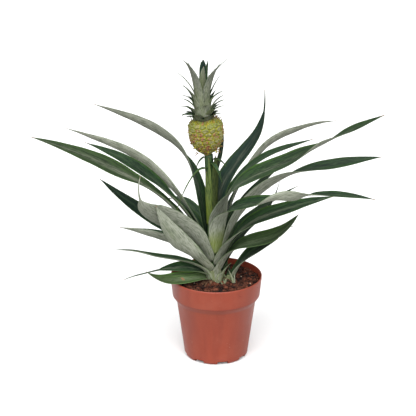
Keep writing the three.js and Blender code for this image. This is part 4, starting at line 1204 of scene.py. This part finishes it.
class PINEAPPLE_OT_pot(bpy.types.Operator):
    """Makes the nursery pot"""

    bl_idname = "pineapple.pot"
    bl_label = "Pot"

    def execute(self, context):
        settings = context.scene.pineapple_pot
        points, faces = lathe(pot_profile(settings.lip / MM), settings.sides)
        pot = add_piece("pot_fine", points * MM, faces, pot_finish(settings), ["pot"])
        notches = []
        for k in range(NOTCHES):
            turn = Matrix.Rotation(math.radians(FIRST_NOTCH + 360 / NOTCHES * k), 3, "Z")
            box = [(x, y, z) for x in (32, 43) for y in (-NOTCH_HALF_WIDTH, NOTCH_HALF_WIDTH)
                   for z in (-2, NOTCH_HEIGHT)]
            notches.append((np.array([(turn @ Vector(p))[:] for p in box]),
                            [(0, 1, 3, 2), (4, 6, 7, 5), (0, 4, 5, 1), (2, 3, 7, 6), (0, 2, 6, 4),
                             (1, 5, 7, 3)], {}))
        points, faces, _ = gather(notches)
        mesh = bpy.data.meshes.new("notches")
        mesh.from_pydata([tuple(p) for p in points * MM], [], faces)
        cutter = bpy.data.objects.new("notches", mesh)
        context.scene.collection.objects.link(cutter)
        cut = pot.modifiers.new("notches", "BOOLEAN")
        cut.object = cutter
        cut.solver = "EXACT"
        context.view_layer.update()
        whole = bpy.data.meshes.new_from_object(pot.evaluated_get(context.evaluated_depsgraph_get()))
        pot.modifiers.clear()
        pot.data = whole
        whole.shade_smooth()
        bpy.data.objects.remove(cutter)
        pot.data.set_sharp_from_angle(angle=math.radians(40))
        return {"FINISHED"}


class PINEAPPLE_OT_stage(bpy.types.Operator):
    """Makes the floor, the lights and the camera"""

    bl_idname = "pineapple.stage"
    bl_label = "Stage"

    def execute(self, context):
        settings = context.scene.pineapple_stage
        scene = context.scene
        scene.view_settings.view_transform = "Standard"
        mesh = bpy.data.meshes.new("floor")
        reach = FLOOR_REACH
        mesh.from_pydata([(-reach, -reach, 0), (reach, -reach, 0), (reach, reach, 0), (-reach, reach, 0)], [],
                         [(0, 1, 2, 3)])
        floor = bpy.data.objects.new("floor", mesh)
        scene.collection.objects.link(floor)
        paint = Finish("pale_floor")
        paint.set(Base_Color=settings.floor, Roughness=0.9, Specular_IOR_Level=0.1)
        mesh.materials.append(paint.material)
        floor.visible_diffuse = False
        aim = Vector(CAMERA_AIM)
        for name, azimuth, elevation, spread, share in LAMPS:
            data = bpy.data.lights.new(name, "SUN")
            data.energy = settings.key * share
            data.angle = math.radians(spread)
            lamp = bpy.data.objects.new(name, data)
            turn, climb = math.radians(azimuth), math.radians(elevation)
            lamp.location = Vector((math.sin(turn) * math.cos(climb), -math.cos(turn) * math.cos(climb),
                                    math.sin(climb))) * LAMP_DISTANCE
            lamp.rotation_euler = (-lamp.location).to_track_quat("-Z", "Y").to_euler()
            scene.collection.objects.link(lamp)
        world = bpy.data.worlds.new("soft_sky")
        world.use_nodes = True
        world.node_tree.nodes["Background"].inputs[0].default_value = (1, 1, 1, 1)
        world.node_tree.nodes["Background"].inputs[1].default_value = settings.sky
        scene.world = world
        data = bpy.data.cameras.new("camera")
        data.lens = settings.lens
        data.clip_end = 60
        camera = bpy.data.objects.new("camera", data)
        back = Vector((0, -math.cos(settings.elevation), math.sin(settings.elevation)))
        camera.location = aim + back * settings.distance
        camera.rotation_euler = (aim - camera.location).to_track_quat("-Z", "Y").to_euler()
        scene.collection.objects.link(camera)
        scene.camera = camera
        return {"FINISHED"}


# ------------------------------------------------------------------ panel and registration

PIECES = ("pineapple.pot", "pineapple.soil", "pineapple.leaves", "pineapple.foot", "pineapple.stalk",
          "pineapple.shoot", "pineapple.fruit", "pineapple.crown", "pineapple.stage")


class PINEAPPLE_PT_pieces(bpy.types.Panel):
    """Lists the plant's pieces and their settings"""

    bl_idname = "PINEAPPLE_PT_pieces"
    bl_label = "Potted Pineapple Plant"
    bl_space_type = "VIEW_3D"
    bl_region_type = "UI"
    bl_category = "Plant"

    def draw(self, context):
        for piece in PIECES:
            self.layout.operator(piece)
        for key in SETTINGS:
            group = getattr(context.scene, key)
            box = self.layout.box()
            box.label(text=key.replace("_", " ").capitalize())
            for name in group.bl_rna.properties.keys():
                if name not in ("rna_type", "name"):
                    box.prop(group, name)


SETTINGS = {
    "pineapple_leaf": PineappleLeafSettings,
    "pineapple_fruit": PineappleFruitSettings,
    "pineapple_crown": PineappleCrownSettings,
    "pineapple_soil": PineappleSoilSettings,
    "pineapple_pot": PineapplePotSettings,
    "pineapple_stage": PineappleStageSettings,
}
CLASSES = (*SETTINGS.values(), PINEAPPLE_OT_pot, PINEAPPLE_OT_soil, PINEAPPLE_OT_leaves,
           PINEAPPLE_OT_foot, PINEAPPLE_OT_stalk, PINEAPPLE_OT_shoot, PINEAPPLE_OT_fruit, PINEAPPLE_OT_crown,
           PINEAPPLE_OT_stage, PINEAPPLE_PT_pieces)


def register():
    for made in CLASSES:
        bpy.utils.register_class(made)
    for key, group in SETTINGS.items():
        setattr(bpy.types.Scene, key, bpy.props.PointerProperty(type=group))


def unregister():
    for key in SETTINGS:
        delattr(bpy.types.Scene, key)
    for made in reversed(CLASSES):
        bpy.utils.unregister_class(made)


def main():
    """Makes every piece in order."""
    register()
    for piece in PIECES:
        group, name = piece.split(".")
        if "FINISHED" not in getattr(getattr(bpy.ops, group), name)():
            raise RuntimeError(f"{piece} did not finish")


if __name__ == "__main__":
    main()
